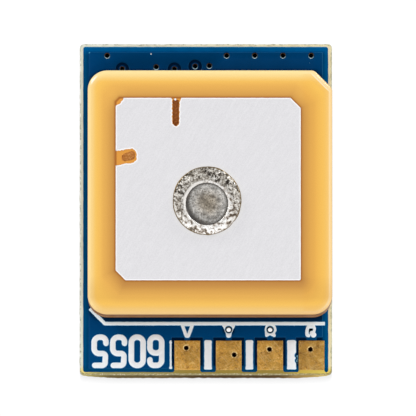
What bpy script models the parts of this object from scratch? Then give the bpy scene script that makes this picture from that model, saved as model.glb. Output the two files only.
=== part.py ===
"""Satellite receiver module: a blue circuit board with a ceramic patch antenna on its front.

The antenna is glued down and its pin is soldered through the board. Four wire pads lie along the
lower edge, and the receiver's parts are on the back. Seen from the front, +X is to the right, +Y is
up and +Z comes forward. The module lies on the tallest parts of its back, which reach Z = 0.
"""
import math

import bmesh
import bpy
from mathutils import Matrix, Vector

MM = 0.001

# Gap left between two pieces that touch
SEAT = 0.005 * MM
# Finest angle that a small round corner is drawn with, in degrees
CORNER_STEP = 22.5

# Ceramic block of the antenna
CERAMIC_WIDTH = 14.95 * MM
CERAMIC_LENGTH = 14.95 * MM
CERAMIC_HEIGHT = 4.0 * MM
CERAMIC_CORNER_RADIUS = 1.2 * MM
CERAMIC_CUT = 1.1 * MM
CERAMIC_CUT_BLEND = 0.45 * MM
CERAMIC_EDGE_RADIUS = 0.18 * MM
CERAMIC_CORNER_STEP = 15

# Board: laminate, its edges broken where it was snapped out of the panel. It is as large as the
# block and what it leaves free on each side of it.
BOARD_LEFT_OF_BLOCK = 0.515 * MM
BOARD_RIGHT_OF_BLOCK = 0.005 * MM
BOARD_ABOVE_BLOCK = 1.85 * MM
BOARD_BELOW_BLOCK = 3.52 * MM
BOARD_THICKNESS = 1.0 * MM
BOARD_CORNER_RADIUS = 0.25 * MM
BOARD_EDGE_BREAK = 0.08 * MM
# Rough web along the lower edge, left where the board was snapped off the next one
WEB_STANDS_OUT = 0.12 * MM
WEB_FROM_FACES = 0.20 * MM
WEB_FROM_SIDES = 0.30 * MM

# Plated holes through the board
VIA_DIAMETER = 0.26 * MM
VIA_SIDES = 10
GROUND_VIA_COUNT = 4
GROUND_VIA_PITCH = 1.73 * MM
GROUND_VIA_FROM_RIGHT = 1.27 * MM
GROUND_VIA_FROM_TOP = 0.70 * MM
CORNER_VIA_FROM_LEFT = 1.68 * MM
# Places of the holes above the antenna, from the board's upper left corner
SIGNAL_VIAS = (
    (2.61 * MM, 1.53 * MM),
    (4.69 * MM, 1.41 * MM),
    (5.81 * MM, 1.53 * MM),
    (7.08 * MM, 1.36 * MM),
    (7.95 * MM, 1.33 * MM),
)
# Each pad's own hole, from the middle of its pad
PAD_VIAS = (
    (-0.06 * MM, 0.45 * MM),
    (0.34 * MM, 0.03 * MM),
    (-0.04 * MM, 0.37 * MM),
    (-0.07 * MM, 0.36 * MM),
)
# Holes in a row above every pad but the first, from the middle of the pad
LABEL_VIA_RISE = 1.58 * MM

# Wire pads along the lower edge
PAD_COUNT = 4
PAD_PITCH = 2.54 * MM
PAD_WIDTH = 1.57 * MM
PAD_LENGTH = 1.80 * MM
PAD_THICKNESS = 0.045 * MM
PAD_CORNER_RADIUS = 0.10 * MM
LAST_PAD_FROM_RIGHT = 1.25 * MM
PAD_FROM_BOTTOM = 0.31 * MM

# White print
INK_THICKNESS = 0.02 * MM
LINE_WIDTH = 0.24 * MM
LINE_BELOW_ANTENNA = 0.37 * MM
LINE_FROM_LEFT = 1.56 * MM
LINE_FROM_RIGHT = 0.44 * MM
LINE_DIAGONAL = 0.92 * MM
BAR_WIDTH = 0.46 * MM
BAR_END_WIDTH = 0.56 * MM
BAR_LENGTH = 1.86 * MM
BAR_END_LENGTH = 0.22 * MM
TICK_WIDTH = 0.15 * MM
TICK_END_WIDTH = 0.24 * MM
TICK_LENGTH = 1.80 * MM
TICK_FROM_PAD = 1.02 * MM

# Tape under the block
TAPE_THICKNESS = 0.20 * MM
TAPE_INSET = 0.30 * MM
TAPE_HOLE_DIAMETER = 3.0 * MM

# Fired silver on both faces of the block
SILVER_THICKNESS = 0.03 * MM
GROUND_SILVER_INSET = 0.25 * MM
GROUND_CLEARANCE_DIAMETER = 2.2 * MM
PATCH_WIDTH = 11.31 * MM
PATCH_LENGTH = 11.17 * MM
PATCH_OFFSET_X = -0.105 * MM
PATCH_OFFSET_Y = 0.20 * MM
PATCH_CUT_UPPER_RIGHT = 0.63 * MM
PATCH_CUT_LOWER_LEFT = 0.60 * MM
PATCH_CUT_UPPER_LEFT = 0.48 * MM
PATCH_CORNER_RADIUS = 0.10 * MM
# Trimming notches ground into the upper and the left edge
TOP_NOTCH_WIDTH = 0.46 * MM
TOP_NOTCH_DEPTH = 1.70 * MM
TOP_NOTCH_FROM_LEFT = 3.67 * MM
TOP_NOTCH_FLARE = 0.10 * MM
SIDE_NOTCH_WIDTH = 0.88 * MM
SIDE_NOTCH_DEPTH = 1.25 * MM
SIDE_NOTCH_FROM_TOP = 3.70 * MM
SIDE_NOTCH_RISE = 0.14 * MM
SIDE_NOTCH_RADIUS = 0.30 * MM

# Feed pin, placed from the middle of the block, and its two solder joints. The hand-made joint on
# the silver ran further up than down.
FEED_OFFSET_X = -0.185 * MM
FEED_OFFSET_Y = -0.72 * MM
PIN_DIAMETER = 0.90 * MM
PIN_HOLE_DIAMETER = 1.15 * MM
PIN_HEAD_DIAMETER = 2.56 * MM
PIN_HEAD_THICKNESS = 0.25 * MM
PIN_HEAD_EDGE = 0.05 * MM
PIN_STICKS_OUT = 0.65 * MM
PIN_TIP_CHAMFER = 0.12 * MM
PIN_SIDES = 24
PATCH_SOLDER_DIAMETER = 4.26 * MM
PATCH_SOLDER_HEIGHT = 0.32 * MM
PATCH_SOLDER_OFF_CENTRE = 0.20 * MM
PATCH_SOLDER_CREST = 0.35
PATCH_SOLDER_STEPS = 7
PATCH_SOLDER_SIDES = 40
BOARD_SOLDER_DIAMETER = 2.1 * MM
BOARD_SOLDER_HEIGHT = 0.42 * MM
BOARD_SOLDER_STEPS = 5

# Places on the back, as shares of half the board's width and length, and each part's turn
BACK_SHARES = {
    "receiver_chip": (-0.394, 0.507, 0),
    "oscillator": (0.304, 0.650, 0),
    "clock_crystal": (-0.633, -0.030, 0),
    "saw_filter": (0.297, 0.394, 0),
    "low_noise_amplifier": (0.427, 0.128, 0),
    "regulator": (-0.116, -0.512, 0),
    "backup_cell": (0.588, -0.354, 0),
    "power_light": (-0.789, -0.886, 0),
    "fix_light": (-0.478, -0.886, 0),
    "bulk_capacitor_1": (0.743, 0.758, 0),
    "bulk_capacitor_2": (-0.711, -0.551, 0),
    "bulk_capacitor_3": (-0.886, 0.679, 90),
    "capacitor_1": (-0.659, 0.177, 0),
    "capacitor_2": (-0.452, 0.177, 0),
    "capacitor_3": (-0.886, 0.443, 90),
    "capacitor_4": (0.041, 0.679, 90),
    "capacitor_5": (0.041, 0.522, 90),
    "capacitor_6": (0.646, 0.581, 0),
    "capacitor_7": (0.595, 0.423, 0),
    "capacitor_8": (-0.375, -0.256, 0),
    "capacitor_9": (-0.078, -0.276, 0),
    "capacitor_10": (-0.763, -0.246, 0),
    "inductor_1": (0.672, 0.256, 90),
    "inductor_2": (0.827, 0.256, 90),
    "resistor_1": (-0.789, -0.758, 0),
    "resistor_2": (-0.478, -0.758, 0),
    "resistor_3": (0.349, -0.817, 90),
    "resistor_4": (0.672, -0.817, 90),
}

# Receiver chip, a leadless package
CHIP_SIDE = 5.0 * MM
CHIP_HEIGHT = 0.85 * MM
CHIP_LAND_PITCH = 0.40 * MM
CHIP_LAND_FROM_CORNER = 0.65 * MM
CHIP_LAND_WIDTH = 0.20 * MM
CHIP_MARK_DIAMETER = 0.50 * MM
CHIP_MARK_INSET = 0.60 * MM
MARK_DEPTH = 0.04 * MM
PACKAGE_BEVEL = 0.04 * MM
LAND_THICKNESS = 0.20 * MM
LAND_REACH_IN = 0.35 * MM
LAND_PROUD = 0.02 * MM
LAND_STANDOFF = 0.03 * MM

# Amplifier, a smaller leadless package
AMPLIFIER_WIDTH = 1.50 * MM
AMPLIFIER_LENGTH = 1.00 * MM
AMPLIFIER_HEIGHT = 0.50 * MM
AMPLIFIER_LAND_PITCH = 0.50 * MM
AMPLIFIER_LAND_FROM_CORNER = 0.20 * MM
AMPLIFIER_LAND_WIDTH = 0.22 * MM

# Ceramic packages with a metal lid: width, length, ceramic height, lid height
OSCILLATOR_WIDTH = 2.5 * MM
OSCILLATOR_LENGTH = 2.0 * MM
OSCILLATOR_BASE_HEIGHT = 0.55 * MM
CRYSTAL_WIDTH = 3.2 * MM
CRYSTAL_LENGTH = 1.5 * MM
CRYSTAL_BASE_HEIGHT = 0.50 * MM
FILTER_WIDTH = 1.4 * MM
FILTER_LENGTH = 1.1 * MM
FILTER_HEIGHT = 0.45 * MM
LID_HEIGHT = 0.20 * MM
LID_INSET = 0.12 * MM
LID_CORNER_RADIUS = 0.20 * MM
CASTELLATION_RADIUS = 0.16 * MM

# Regulator: moulded body and five gull-wing leads
REGULATOR_WIDTH = 2.9 * MM
REGULATOR_LENGTH = 1.6 * MM
REGULATOR_BODY_HEIGHT = 1.0 * MM
REGULATOR_STANDOFF = 0.08 * MM
REGULATOR_DRAFT = 0.09 * MM
REGULATOR_LEAD_REACH = 0.60 * MM
REGULATOR_LEAD_PITCH = 0.95 * MM
REGULATOR_LEAD_WIDTH = 0.40 * MM
REGULATOR_LEAD_THICKNESS = 0.15 * MM
REGULATOR_FOOT = 0.36 * MM

# Backup cell with a welded tab on each face
CELL_DIAMETER = 4.8 * MM
CELL_HEIGHT = 1.04 * MM
CELL_RIM = 0.40 * MM
CELL_CAP_HEIGHT = 0.28 * MM
CELL_SEAL_WIDTH = 0.18 * MM
CELL_SEAL_HEIGHT = 0.16 * MM
CELL_EDGE_RADIUS = 0.20 * MM
CELL_SIDES = 32
TAB_THICKNESS = 0.10 * MM
TAB_WIDTH = 1.6 * MM
TAB_REACH = 0.55 * MM
TAB_WELD_REACH = 1.3 * MM

# Status lights
LIGHT_LENGTH = 1.6 * MM
LIGHT_WIDTH = 0.8 * MM
LIGHT_BASE_HEIGHT = 0.22 * MM
LENS_LENGTH = 1.08 * MM
LENS_HEIGHT = 0.36 * MM
LENS_DRAFT = 0.05 * MM

# Chip parts: length, width, height, length of each metal end
BULK_CAPACITOR_LENGTH = 2.0 * MM
BULK_CAPACITOR_WIDTH = 1.25 * MM
BULK_CAPACITOR_HEIGHT = 1.25 * MM
BULK_CAPACITOR_END = 0.45 * MM
CHIP_PART_LENGTH = 1.0 * MM
CHIP_PART_WIDTH = 0.5 * MM
CHIP_PART_END = 0.24 * MM
CAPACITOR_HEIGHT = 0.50 * MM
INDUCTOR_HEIGHT = 0.55 * MM
RESISTOR_HEIGHT = 0.35 * MM
CHIP_PART_BEVEL = 0.03 * MM
METAL_END_PROUD = 0.015 * MM

# Heights and places that follow from the sizes
CELL_STACK = 2 * TAB_THICKNESS + CELL_HEIGHT + 2 * SEAT
BACK_FACE = SEAT + max(BULK_CAPACITOR_HEIGHT, CELL_STACK, REGULATOR_STANDOFF + REGULATOR_BODY_HEIGHT)
FRONT_FACE = BACK_FACE + BOARD_THICKNESS
TAPE_BOTTOM = FRONT_FACE + SEAT
GROUND_SILVER_BOTTOM = TAPE_BOTTOM + TAPE_THICKNESS + SEAT
CERAMIC_BOTTOM = GROUND_SILVER_BOTTOM + SILVER_THICKNESS + SEAT
CERAMIC_TOP = CERAMIC_BOTTOM + CERAMIC_HEIGHT
PATCH_BOTTOM = CERAMIC_TOP + SEAT
PATCH_TOP = PATCH_BOTTOM + SILVER_THICKNESS
BOARD_WIDTH = BOARD_LEFT_OF_BLOCK + CERAMIC_WIDTH + BOARD_RIGHT_OF_BLOCK
BOARD_LENGTH = BOARD_BELOW_BLOCK + CERAMIC_LENGTH + BOARD_ABOVE_BLOCK
BOARD_RIGHT = BOARD_WIDTH / 2
BOARD_TOP = BOARD_LENGTH / 2
CERAMIC_X = BOARD_RIGHT - BOARD_RIGHT_OF_BLOCK - CERAMIC_WIDTH / 2
CERAMIC_Y = BOARD_TOP - BOARD_ABOVE_BLOCK - CERAMIC_LENGTH / 2
FEED_X = CERAMIC_X + FEED_OFFSET_X
FEED_Y = CERAMIC_Y + FEED_OFFSET_Y
PAD_Y = -BOARD_TOP + PAD_FROM_BOTTOM + PAD_LENGTH / 2
FIRST_PAD_X = BOARD_RIGHT - LAST_PAD_FROM_RIGHT - (PAD_COUNT - 1) * PAD_PITCH
TINY = 1e-7


# Scene and finishes

def clear_scene():
    for obj in list(bpy.data.objects):
        bpy.data.objects.remove(obj, do_unlink=True)


def new_collection(name):
    collection = bpy.data.collections.new(name)
    bpy.context.scene.collection.children.link(collection)
    return collection


def new_finish(name, colour, roughness, metallic=0.0):
    finish = bpy.data.materials.new(name)
    finish.use_nodes = True
    shader = finish.node_tree.nodes["Principled BSDF"]
    shader.inputs["Base Color"].default_value = (*colour, 1.0)
    shader.inputs["Roughness"].default_value = roughness
    shader.inputs["Metallic"].default_value = metallic
    finish.diffuse_color = (*colour, 1.0)
    return finish


# Outlines, as lists of points that run anticlockwise

def filleted(corners, step=CORNER_STEP):
    """The closed outline through corners given as (x, y, radius), each rounded to its radius."""
    points = []
    for index, (x, y, radius) in enumerate(corners):
        corner = Vector((x, y))
        to_last = (Vector(corners[index - 1][:2]) - corner).normalized()
        to_next = (Vector(corners[(index + 1) % len(corners)][:2]) - corner).normalized()
        turn = math.pi - to_last.angle(to_next)
        if radius < TINY or turn < TINY:
            points.append((x, y))
            continue
        centre = corner + (to_last + to_next).normalized() * (radius / math.cos(turn / 2))
        first = corner + to_last * (radius * math.tan(turn / 2)) - centre
        side = math.copysign(1, -to_last.cross(to_next))
        steps = max(1, round(math.degrees(turn) / step))
        for number in range(steps + 1):
            arm = Matrix.Rotation(side * turn * number / steps, 2) @ first
            points.append(tuple(centre + arm))
    return points


def circle(x, y, diameter, sides):
    angles = (2 * math.pi * number / sides for number in range(sides))
    return [(x + diameter / 2 * math.cos(a), y + diameter / 2 * math.sin(a)) for a in angles]


def rounded_rectangle(x, y, width, length, radius, step=CORNER_STEP):
    right, top = x + width / 2, y + length / 2
    left, bottom = x - width / 2, y - length / 2
    corners = [(right, bottom, radius), (right, top, radius), (left, top, radius), (left, bottom, radius)]
    return filleted(corners, step)


def thick_path(path, width):
    """The outline of a flat line of one width along a path, with mitred bends."""
    sides = ([], [])
    for index, here in enumerate(path):
        point = Vector(here)
        arms = []
        if index > 0:
            arms.append((point - Vector(path[index - 1])).normalized())
        if index < len(path) - 1:
            arms.append((Vector(path[index + 1]) - point).normalized())
        along = sum(arms, Vector((0, 0))).normalized()
        across = Vector((along.y, -along.x)) * (width / 2 / along.dot(arms[0]))
        sides[0].append(tuple(point + across))
        sides[1].append(tuple(point - across))
    return sides[0] + sides[1][::-1]


# Solids

def add_solid(name, mesh, finish, collection):
    obj = bpy.data.objects.new(name, mesh)
    collection.objects.link(obj)
    if finish and not mesh.materials:
        mesh.materials.append(finish)
    return obj


def plate_mesh(name, outline, bottom, top, holes=()):
    """The mesh of a flat outline between two heights. Holes are outlines inside it."""
    curve = bpy.data.curves.new(name, "CURVE")
    curve.dimensions = "2D"
    curve.fill_mode = "BOTH"
    curve.extrude = (top - bottom) / 2
    for loop in (outline, *holes):
        spline = curve.splines.new("POLY")
        spline.points.add(len(loop) - 1)
        spline.use_cyclic_u = True
        for point, (x, y) in zip(spline.points, loop):
            point.co = (x, y, 0.0, 1.0)
    guide = bpy.data.objects.new(name, curve)
    bpy.context.scene.collection.objects.link(guide)
    evaluated = guide.evaluated_get(bpy.context.evaluated_depsgraph_get())
    mesh = bpy.data.meshes.new_from_object(evaluated)
    bpy.data.objects.remove(guide)
    bpy.data.curves.remove(curve)
    mesh.transform(Matrix.Translation((0, 0, (bottom + top) / 2)))
    mesh.name = name
    close_mesh(mesh)
    return mesh


def close_mesh(mesh):
    """Weld the loose caps of a plate and face it outwards."""
    shape = bmesh.new()
    shape.from_mesh(mesh)
    bmesh.ops.remove_doubles(shape, verts=shape.verts, dist=TINY)
    bmesh.ops.recalc_face_normals(shape, faces=shape.faces)
    if shape.calc_volume(signed=True) < 0:
        bmesh.ops.reverse_faces(shape, faces=shape.faces)
    shape.to_mesh(mesh)
    shape.free()


def plate(name, outline, bottom, top, finish, collection, holes=()):
    return add_solid(name, plate_mesh(name, outline, bottom, top, holes), finish, collection)


def box_mesh(name, width, length, bottom, top, centre=(0, 0)):
    mesh = bpy.data.meshes.new(name)
    shape = bmesh.new()
    place = Matrix.Translation((*centre, (bottom + top) / 2))
    size = Matrix.Diagonal((width, length, top - bottom, 1))
    bmesh.ops.create_cube(shape, size=1, matrix=place @ size)
    shape.to_mesh(mesh)
    shape.free()
    return mesh


def turned(name, profile, sides, finish, collection, closed=False):
    """A solid turned about its own Z axis. Its profile runs down the outer side."""
    mesh = bpy.data.meshes.new(name)
    edges = [(number, number + 1) for number in range(len(profile) - 1)]
    if closed:
        edges.append((len(profile) - 1, 0))
    mesh.from_pydata([(radius, 0, z) for radius, z in profile], edges, [])
    obj = add_solid(name, mesh, finish, collection)
    turn = obj.modifiers.new("Turn", "SCREW")
    turn.steps = sides
    turn.render_steps = sides
    turn.use_merge_vertices = True
    turn.merge_threshold = TINY
    turn.use_smooth_shade = True
    return obj


def round_edges(obj, width, segments=1, angle=60):
    bevel = obj.modifiers.new("Edges", "BEVEL")
    bevel.width = width
    bevel.segments = segments
    bevel.limit_method = "ANGLE"
    bevel.angle_limit = math.radians(angle)
    return bevel


def combine(obj, other, operation):
    boolean = obj.modifiers.new(operation.title(), "BOOLEAN")
    boolean.operation = operation
    boolean.object = other
    other.hide_render = True
    other.display_type = "WIRE"


def drills(name, centres, diameter, sides, bottom, top, cutters):
    """One cutter that holds an upright cylinder at each centre."""
    mesh = bpy.data.meshes.new(name)
    shape = bmesh.new()
    for x, y in centres:
        bmesh.ops.create_cone(
            shape,
            cap_ends=True,
            segments=sides,
            radius1=diameter / 2,
            radius2=diameter / 2,
            depth=top - bottom,
            matrix=Matrix.Translation((x, y, (bottom + top) / 2)),
        )
    shape.to_mesh(mesh)
    shape.free()
    return add_solid(name, mesh, None, cutters)


# Board, pads and print

def pad_centres():
    return [(FIRST_PAD_X + number * PAD_PITCH, PAD_Y) for number in range(PAD_COUNT)]


def pad_via_centres():
    offsets = [PAD_VIAS[number % len(PAD_VIAS)] for number in range(PAD_COUNT)]
    return [(x + dx, y + dy) for (x, y), (dx, dy) in zip(pad_centres(), offsets)]


def via_centres():
    row_y = BOARD_TOP - GROUND_VIA_FROM_TOP
    last_x = BOARD_RIGHT - GROUND_VIA_FROM_RIGHT
    ground = [(last_x - number * GROUND_VIA_PITCH, row_y) for number in range(GROUND_VIA_COUNT)]
    corner = [(CORNER_VIA_FROM_LEFT - BOARD_RIGHT, row_y)]
    signal = [(x - BOARD_RIGHT, BOARD_TOP - y) for x, y in SIGNAL_VIAS]
    label = [(x, y + LABEL_VIA_RISE) for x, y in pad_centres()[1:]]
    return ground + corner + signal + label + pad_via_centres()


def make_board(parts, cutters, finish):
    outline = rounded_rectangle(0, 0, BOARD_WIDTH, BOARD_LENGTH, BOARD_CORNER_RADIUS)
    board = plate("circuit_board", outline, BACK_FACE, FRONT_FACE, finish, parts)
    round_edges(board, BOARD_EDGE_BREAK)
    web_width = BOARD_WIDTH - 2 * WEB_FROM_SIDES
    web_length = WEB_STANDS_OUT + 2 * WEB_FROM_SIDES
    web = box_mesh("snapped_web", web_width, web_length, BACK_FACE + WEB_FROM_FACES, FRONT_FACE - WEB_FROM_FACES,
                   (0, -BOARD_TOP - WEB_STANDS_OUT + web_length / 2))
    combine(board, add_solid("snapped_web", web, finish, cutters), "UNION")
    low, high = BACK_FACE - BOARD_THICKNESS, FRONT_FACE + BOARD_THICKNESS
    combine(board, drills("via_drill", via_centres(), VIA_DIAMETER, VIA_SIDES, low, high, cutters),
            "DIFFERENCE")
    combine(board, drills("feed_drill", [(FEED_X, FEED_Y)], PIN_HOLE_DIAMETER, PIN_SIDES, low, high, cutters),
            "DIFFERENCE")


def make_pads(parts, finish):
    bottom = FRONT_FACE + SEAT
    for number, ((x, y), via) in enumerate(zip(pad_centres(), pad_via_centres()), start=1):
        outline = rounded_rectangle(x, y, PAD_WIDTH, PAD_LENGTH, PAD_CORNER_RADIUS, 45)
        hole = circle(*via, VIA_DIAMETER, VIA_SIDES)
        plate(f"wire_pad_{number}", outline, bottom, bottom + PAD_THICKNESS, finish, parts, [hole])


def dog_bone(x, y, width, length, end_width, end_length):
    """Outline of an upright bar that is a little wider at its ends."""
    top, bottom = y + length / 2, y - length / 2
    half, end_half = width / 2, end_width / 2
    radius = end_width / 4
    return filleted([
        (x + end_half, bottom, radius),
        (x + half, bottom + end_length, 0),
        (x + half, top - end_length, 0),
        (x + end_half, top, radius),
        (x - end_half, top, radius),
        (x - half, top - end_length, 0),
        (x - half, bottom + end_length, 0),
        (x - end_half, bottom, radius),
    ], 45)


def make_print(parts, finish):
    bottom = FRONT_FACE + SEAT
    top = bottom + INK_THICKNESS
    line_y = CERAMIC_Y - CERAMIC_LENGTH / 2 - LINE_BELOW_ANTENNA
    bend_x = LINE_FROM_LEFT - BOARD_RIGHT
    path = [
        (bend_x - LINE_DIAGONAL, line_y + LINE_DIAGONAL),
        (bend_x, line_y),
        (BOARD_RIGHT - LINE_FROM_RIGHT, line_y),
    ]
    plate("legend_line", thick_path(path, LINE_WIDTH), bottom, top, finish, parts)
    for number, (x, y) in enumerate(pad_centres()[:-1], start=1):
        outline = dog_bone(x + PAD_PITCH / 2, y, BAR_WIDTH, BAR_LENGTH, BAR_END_WIDTH, BAR_END_LENGTH)
        plate(f"legend_bar_{number}", outline, bottom, top, finish, parts)
    tick_x = FIRST_PAD_X - TICK_FROM_PAD
    outline = dog_bone(tick_x, PAD_Y, TICK_WIDTH, TICK_LENGTH, TICK_END_WIDTH, BAR_END_LENGTH)
    plate("legend_tick", outline, bottom, top, finish, parts)


# Antenna

def ceramic_outline(inset=0.0, step=CERAMIC_CORNER_STEP):
    right = CERAMIC_X + CERAMIC_WIDTH / 2 - inset
    left = CERAMIC_X - CERAMIC_WIDTH / 2 + inset
    top = CERAMIC_Y + CERAMIC_LENGTH / 2 - inset
    bottom = CERAMIC_Y - CERAMIC_LENGTH / 2 + inset
    radius = CERAMIC_CORNER_RADIUS - inset
    return filleted([
        (right, bottom, radius),
        (right, top - CERAMIC_CUT, CERAMIC_CUT_BLEND),
        (right - CERAMIC_CUT, top, CERAMIC_CUT_BLEND),
        (left, top, radius),
        (left, bottom, radius),
    ], step)


def patch_outline():
    """Outline of the top silver, with its cut corners and its two trimming notches."""
    x, y = CERAMIC_X + PATCH_OFFSET_X, CERAMIC_Y + PATCH_OFFSET_Y
    right, top = x + PATCH_WIDTH / 2, y + PATCH_LENGTH / 2
    left, bottom = x - PATCH_WIDTH / 2, y - PATCH_LENGTH / 2
    slot_x = left + TOP_NOTCH_FROM_LEFT
    slot_half = TOP_NOTCH_WIDTH / 2
    slot_end = top - TOP_NOTCH_DEPTH
    step_y = top - SIDE_NOTCH_FROM_TOP
    step_half = SIDE_NOTCH_WIDTH / 2
    step_end = left + SIDE_NOTCH_DEPTH
    return filleted([
        (right, bottom, PATCH_CORNER_RADIUS),
        (right, top - PATCH_CUT_UPPER_RIGHT, 0),
        (right - PATCH_CUT_UPPER_RIGHT, top, 0),
        (slot_x + slot_half + TOP_NOTCH_FLARE, top, 0),
        (slot_x + slot_half, top - TOP_NOTCH_FLARE * 3, 0),
        (slot_x + slot_half, slot_end, slot_half * 0.9),
        (slot_x - slot_half, slot_end, slot_half * 0.9),
        (slot_x - slot_half, top, 0),
        (left + PATCH_CUT_UPPER_LEFT, top, 0),
        (left, top - PATCH_CUT_UPPER_LEFT, 0),
        (left, step_y + step_half, 0),
        (step_end, step_y + step_half + SIDE_NOTCH_RISE, SIDE_NOTCH_RADIUS),
        (step_end, step_y - step_half + SIDE_NOTCH_RISE, SIDE_NOTCH_RADIUS),
        (left, step_y - step_half, 0),
        (left, bottom + PATCH_CUT_LOWER_LEFT, 0),
        (left + PATCH_CUT_LOWER_LEFT, bottom, 0),
    ])


def make_antenna(parts, cutters, tape_finish, silver_finish, ceramic_finish):
    tape_hole = circle(FEED_X, FEED_Y, TAPE_HOLE_DIAMETER, PIN_SIDES)
    plate("adhesive_pad", ceramic_outline(TAPE_INSET, 30), TAPE_BOTTOM, TAPE_BOTTOM + TAPE_THICKNESS,
          tape_finish, parts, [tape_hole])
    clearance = circle(FEED_X, FEED_Y, GROUND_CLEARANCE_DIAMETER, PIN_SIDES)
    plate("ground_electrode", ceramic_outline(GROUND_SILVER_INSET, 30), GROUND_SILVER_BOTTOM,
          GROUND_SILVER_BOTTOM + SILVER_THICKNESS, silver_finish, parts, [clearance])
    block = plate("ceramic_block", ceramic_outline(), CERAMIC_BOTTOM, CERAMIC_TOP, ceramic_finish, parts)
    round_edges(block, CERAMIC_EDGE_RADIUS, segments=3)
    low, high = CERAMIC_BOTTOM - CERAMIC_HEIGHT, CERAMIC_TOP + CERAMIC_HEIGHT
    combine(block, drills("block_drill", [(FEED_X, FEED_Y)], PIN_HOLE_DIAMETER, PIN_SIDES, low, high, cutters),
            "DIFFERENCE")
    hole = circle(FEED_X, FEED_Y, PIN_HOLE_DIAMETER, PIN_SIDES)
    plate("patch_electrode", patch_outline(), PATCH_BOTTOM, PATCH_TOP, silver_finish, parts, [hole])


def make_feed(parts, cutters, pin_finish, solder_finish):
    head_bottom = PATCH_TOP + SEAT
    head_top = head_bottom + PIN_HEAD_THICKNESS
    head, shank = PIN_HEAD_DIAMETER / 2, PIN_DIAMETER / 2
    tip = BACK_FACE - PIN_STICKS_OUT
    pin = turned("feed_pin", [
        (0, head_top),
        (head - PIN_HEAD_EDGE, head_top),
        (head, head_top - PIN_HEAD_EDGE),
        (head, head_bottom),
        (shank, head_bottom),
        (shank, tip + PIN_TIP_CHAMFER),
        (shank - PIN_TIP_CHAMFER, tip),
        (0, tip),
    ], PIN_SIDES, pin_finish, parts)
    inner, outer = head + SEAT, PATCH_SOLDER_DIAMETER / 2
    crest = inner + (outer - inner) * PATCH_SOLDER_CREST
    profile = []
    for number in range(PATCH_SOLDER_STEPS + 1):
        angle = math.pi / 2 * number / PATCH_SOLDER_STEPS
        radius = crest + (outer - crest) * math.sin(angle)
        profile.append((radius, head_bottom + PATCH_SOLDER_HEIGHT * math.cos(angle)))
    profile = [(0, head_top), (inner, head_top), *profile, (0, head_bottom)]
    ring = turned("patch_solder", profile, PATCH_SOLDER_SIDES, solder_finish, parts)
    combine(ring, drills("head_drill", [(FEED_X, FEED_Y)], PIN_HEAD_DIAMETER + 2 * SEAT, PIN_SIDES,
                         head_bottom - PIN_HEAD_THICKNESS, head_top + PIN_HEAD_THICKNESS, cutters), "DIFFERENCE")
    foot = BACK_FACE - SEAT
    inner, outer = shank + SEAT, BOARD_SOLDER_DIAMETER / 2
    profile = [(inner, foot)]
    for number in range(BOARD_SOLDER_STEPS + 1):
        angle = math.pi / 2 * number / BOARD_SOLDER_STEPS
        radius = outer - (outer - inner) * math.sin(angle)
        profile.append((radius, foot - BOARD_SOLDER_HEIGHT * (1 - math.cos(angle))))
    fillet = turned("board_solder", profile, PIN_SIDES, solder_finish, parts, closed=True)
    for obj in (pin, fillet):
        obj.location = (FEED_X, FEED_Y, 0)
    ring.location = (FEED_X, FEED_Y + PATCH_SOLDER_OFF_CENTRE, 0)


# Parts on the back, each built hanging down from its own Z = 0, where it meets the board

def seat_on_back(obj, place, drop=0.0):
    share_x, share_y, turn = BACK_SHARES[place]
    obj.location = (share_x * BOARD_WIDTH / 2, share_y * BOARD_LENGTH / 2, BACK_FACE - SEAT - drop)
    obj.rotation_euler.z = math.radians(turn)
    return obj


def join_meshes(name, meshes):
    joined = bpy.data.meshes.new(name)
    shape = bmesh.new()
    for mesh in meshes:
        shape.from_mesh(mesh)
        bpy.data.meshes.remove(mesh)
    shape.to_mesh(joined)
    shape.free()
    return joined


def leadless_package(name, width, length, height, pitch, from_corner, land_width, four_sided, finish,
                     parts, cutters):
    """A moulded block with as many flat lands under its edges as its width holds."""
    lands = 1 + int((width - 2 * from_corner) / pitch)
    body = add_solid(name, box_mesh(name, width, length, -height, -LAND_STANDOFF), finish, parts)
    round_edges(body, PACKAGE_BEVEL)
    meshes = []
    land_length = LAND_REACH_IN + LAND_PROUD
    for side in (-1, 1):
        for number in range(lands):
            along = (number - (lands - 1) / 2) * pitch
            across = side * (length / 2 + LAND_PROUD - land_length / 2)
            meshes.append(box_mesh("land", land_width, land_length, -LAND_THICKNESS, 0, (along, across)))
            if four_sided:
                across = side * (width / 2 + LAND_PROUD - land_length / 2)
                meshes.append(box_mesh("land", land_length, land_width, -LAND_THICKNESS, 0, (across, along)))
    land_set = add_solid(f"{name}_lands", join_meshes(f"{name}_lands", meshes), None, cutters)
    combine(body, land_set, "UNION")
    seat_on_back(body, name)
    seat_on_back(land_set, name)
    return body


def make_receiver(parts, cutters, finish):
    chip = leadless_package("receiver_chip", CHIP_SIDE, CHIP_SIDE, CHIP_HEIGHT, CHIP_LAND_PITCH,
                            CHIP_LAND_FROM_CORNER, CHIP_LAND_WIDTH, True, finish, parts, cutters)
    corner = CHIP_SIDE / 2 - CHIP_MARK_INSET
    mark = drills("chip_mark", [(-corner, corner)], CHIP_MARK_DIAMETER, PIN_SIDES // 2,
                  -CHIP_HEIGHT - MARK_DEPTH, -CHIP_HEIGHT + MARK_DEPTH, cutters)
    combine(chip, seat_on_back(mark, "receiver_chip"), "DIFFERENCE")
    leadless_package("low_noise_amplifier", AMPLIFIER_WIDTH, AMPLIFIER_LENGTH, AMPLIFIER_HEIGHT,
                     AMPLIFIER_LAND_PITCH, AMPLIFIER_LAND_FROM_CORNER, AMPLIFIER_LAND_WIDTH, False,
                     finish, parts, cutters)


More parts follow.
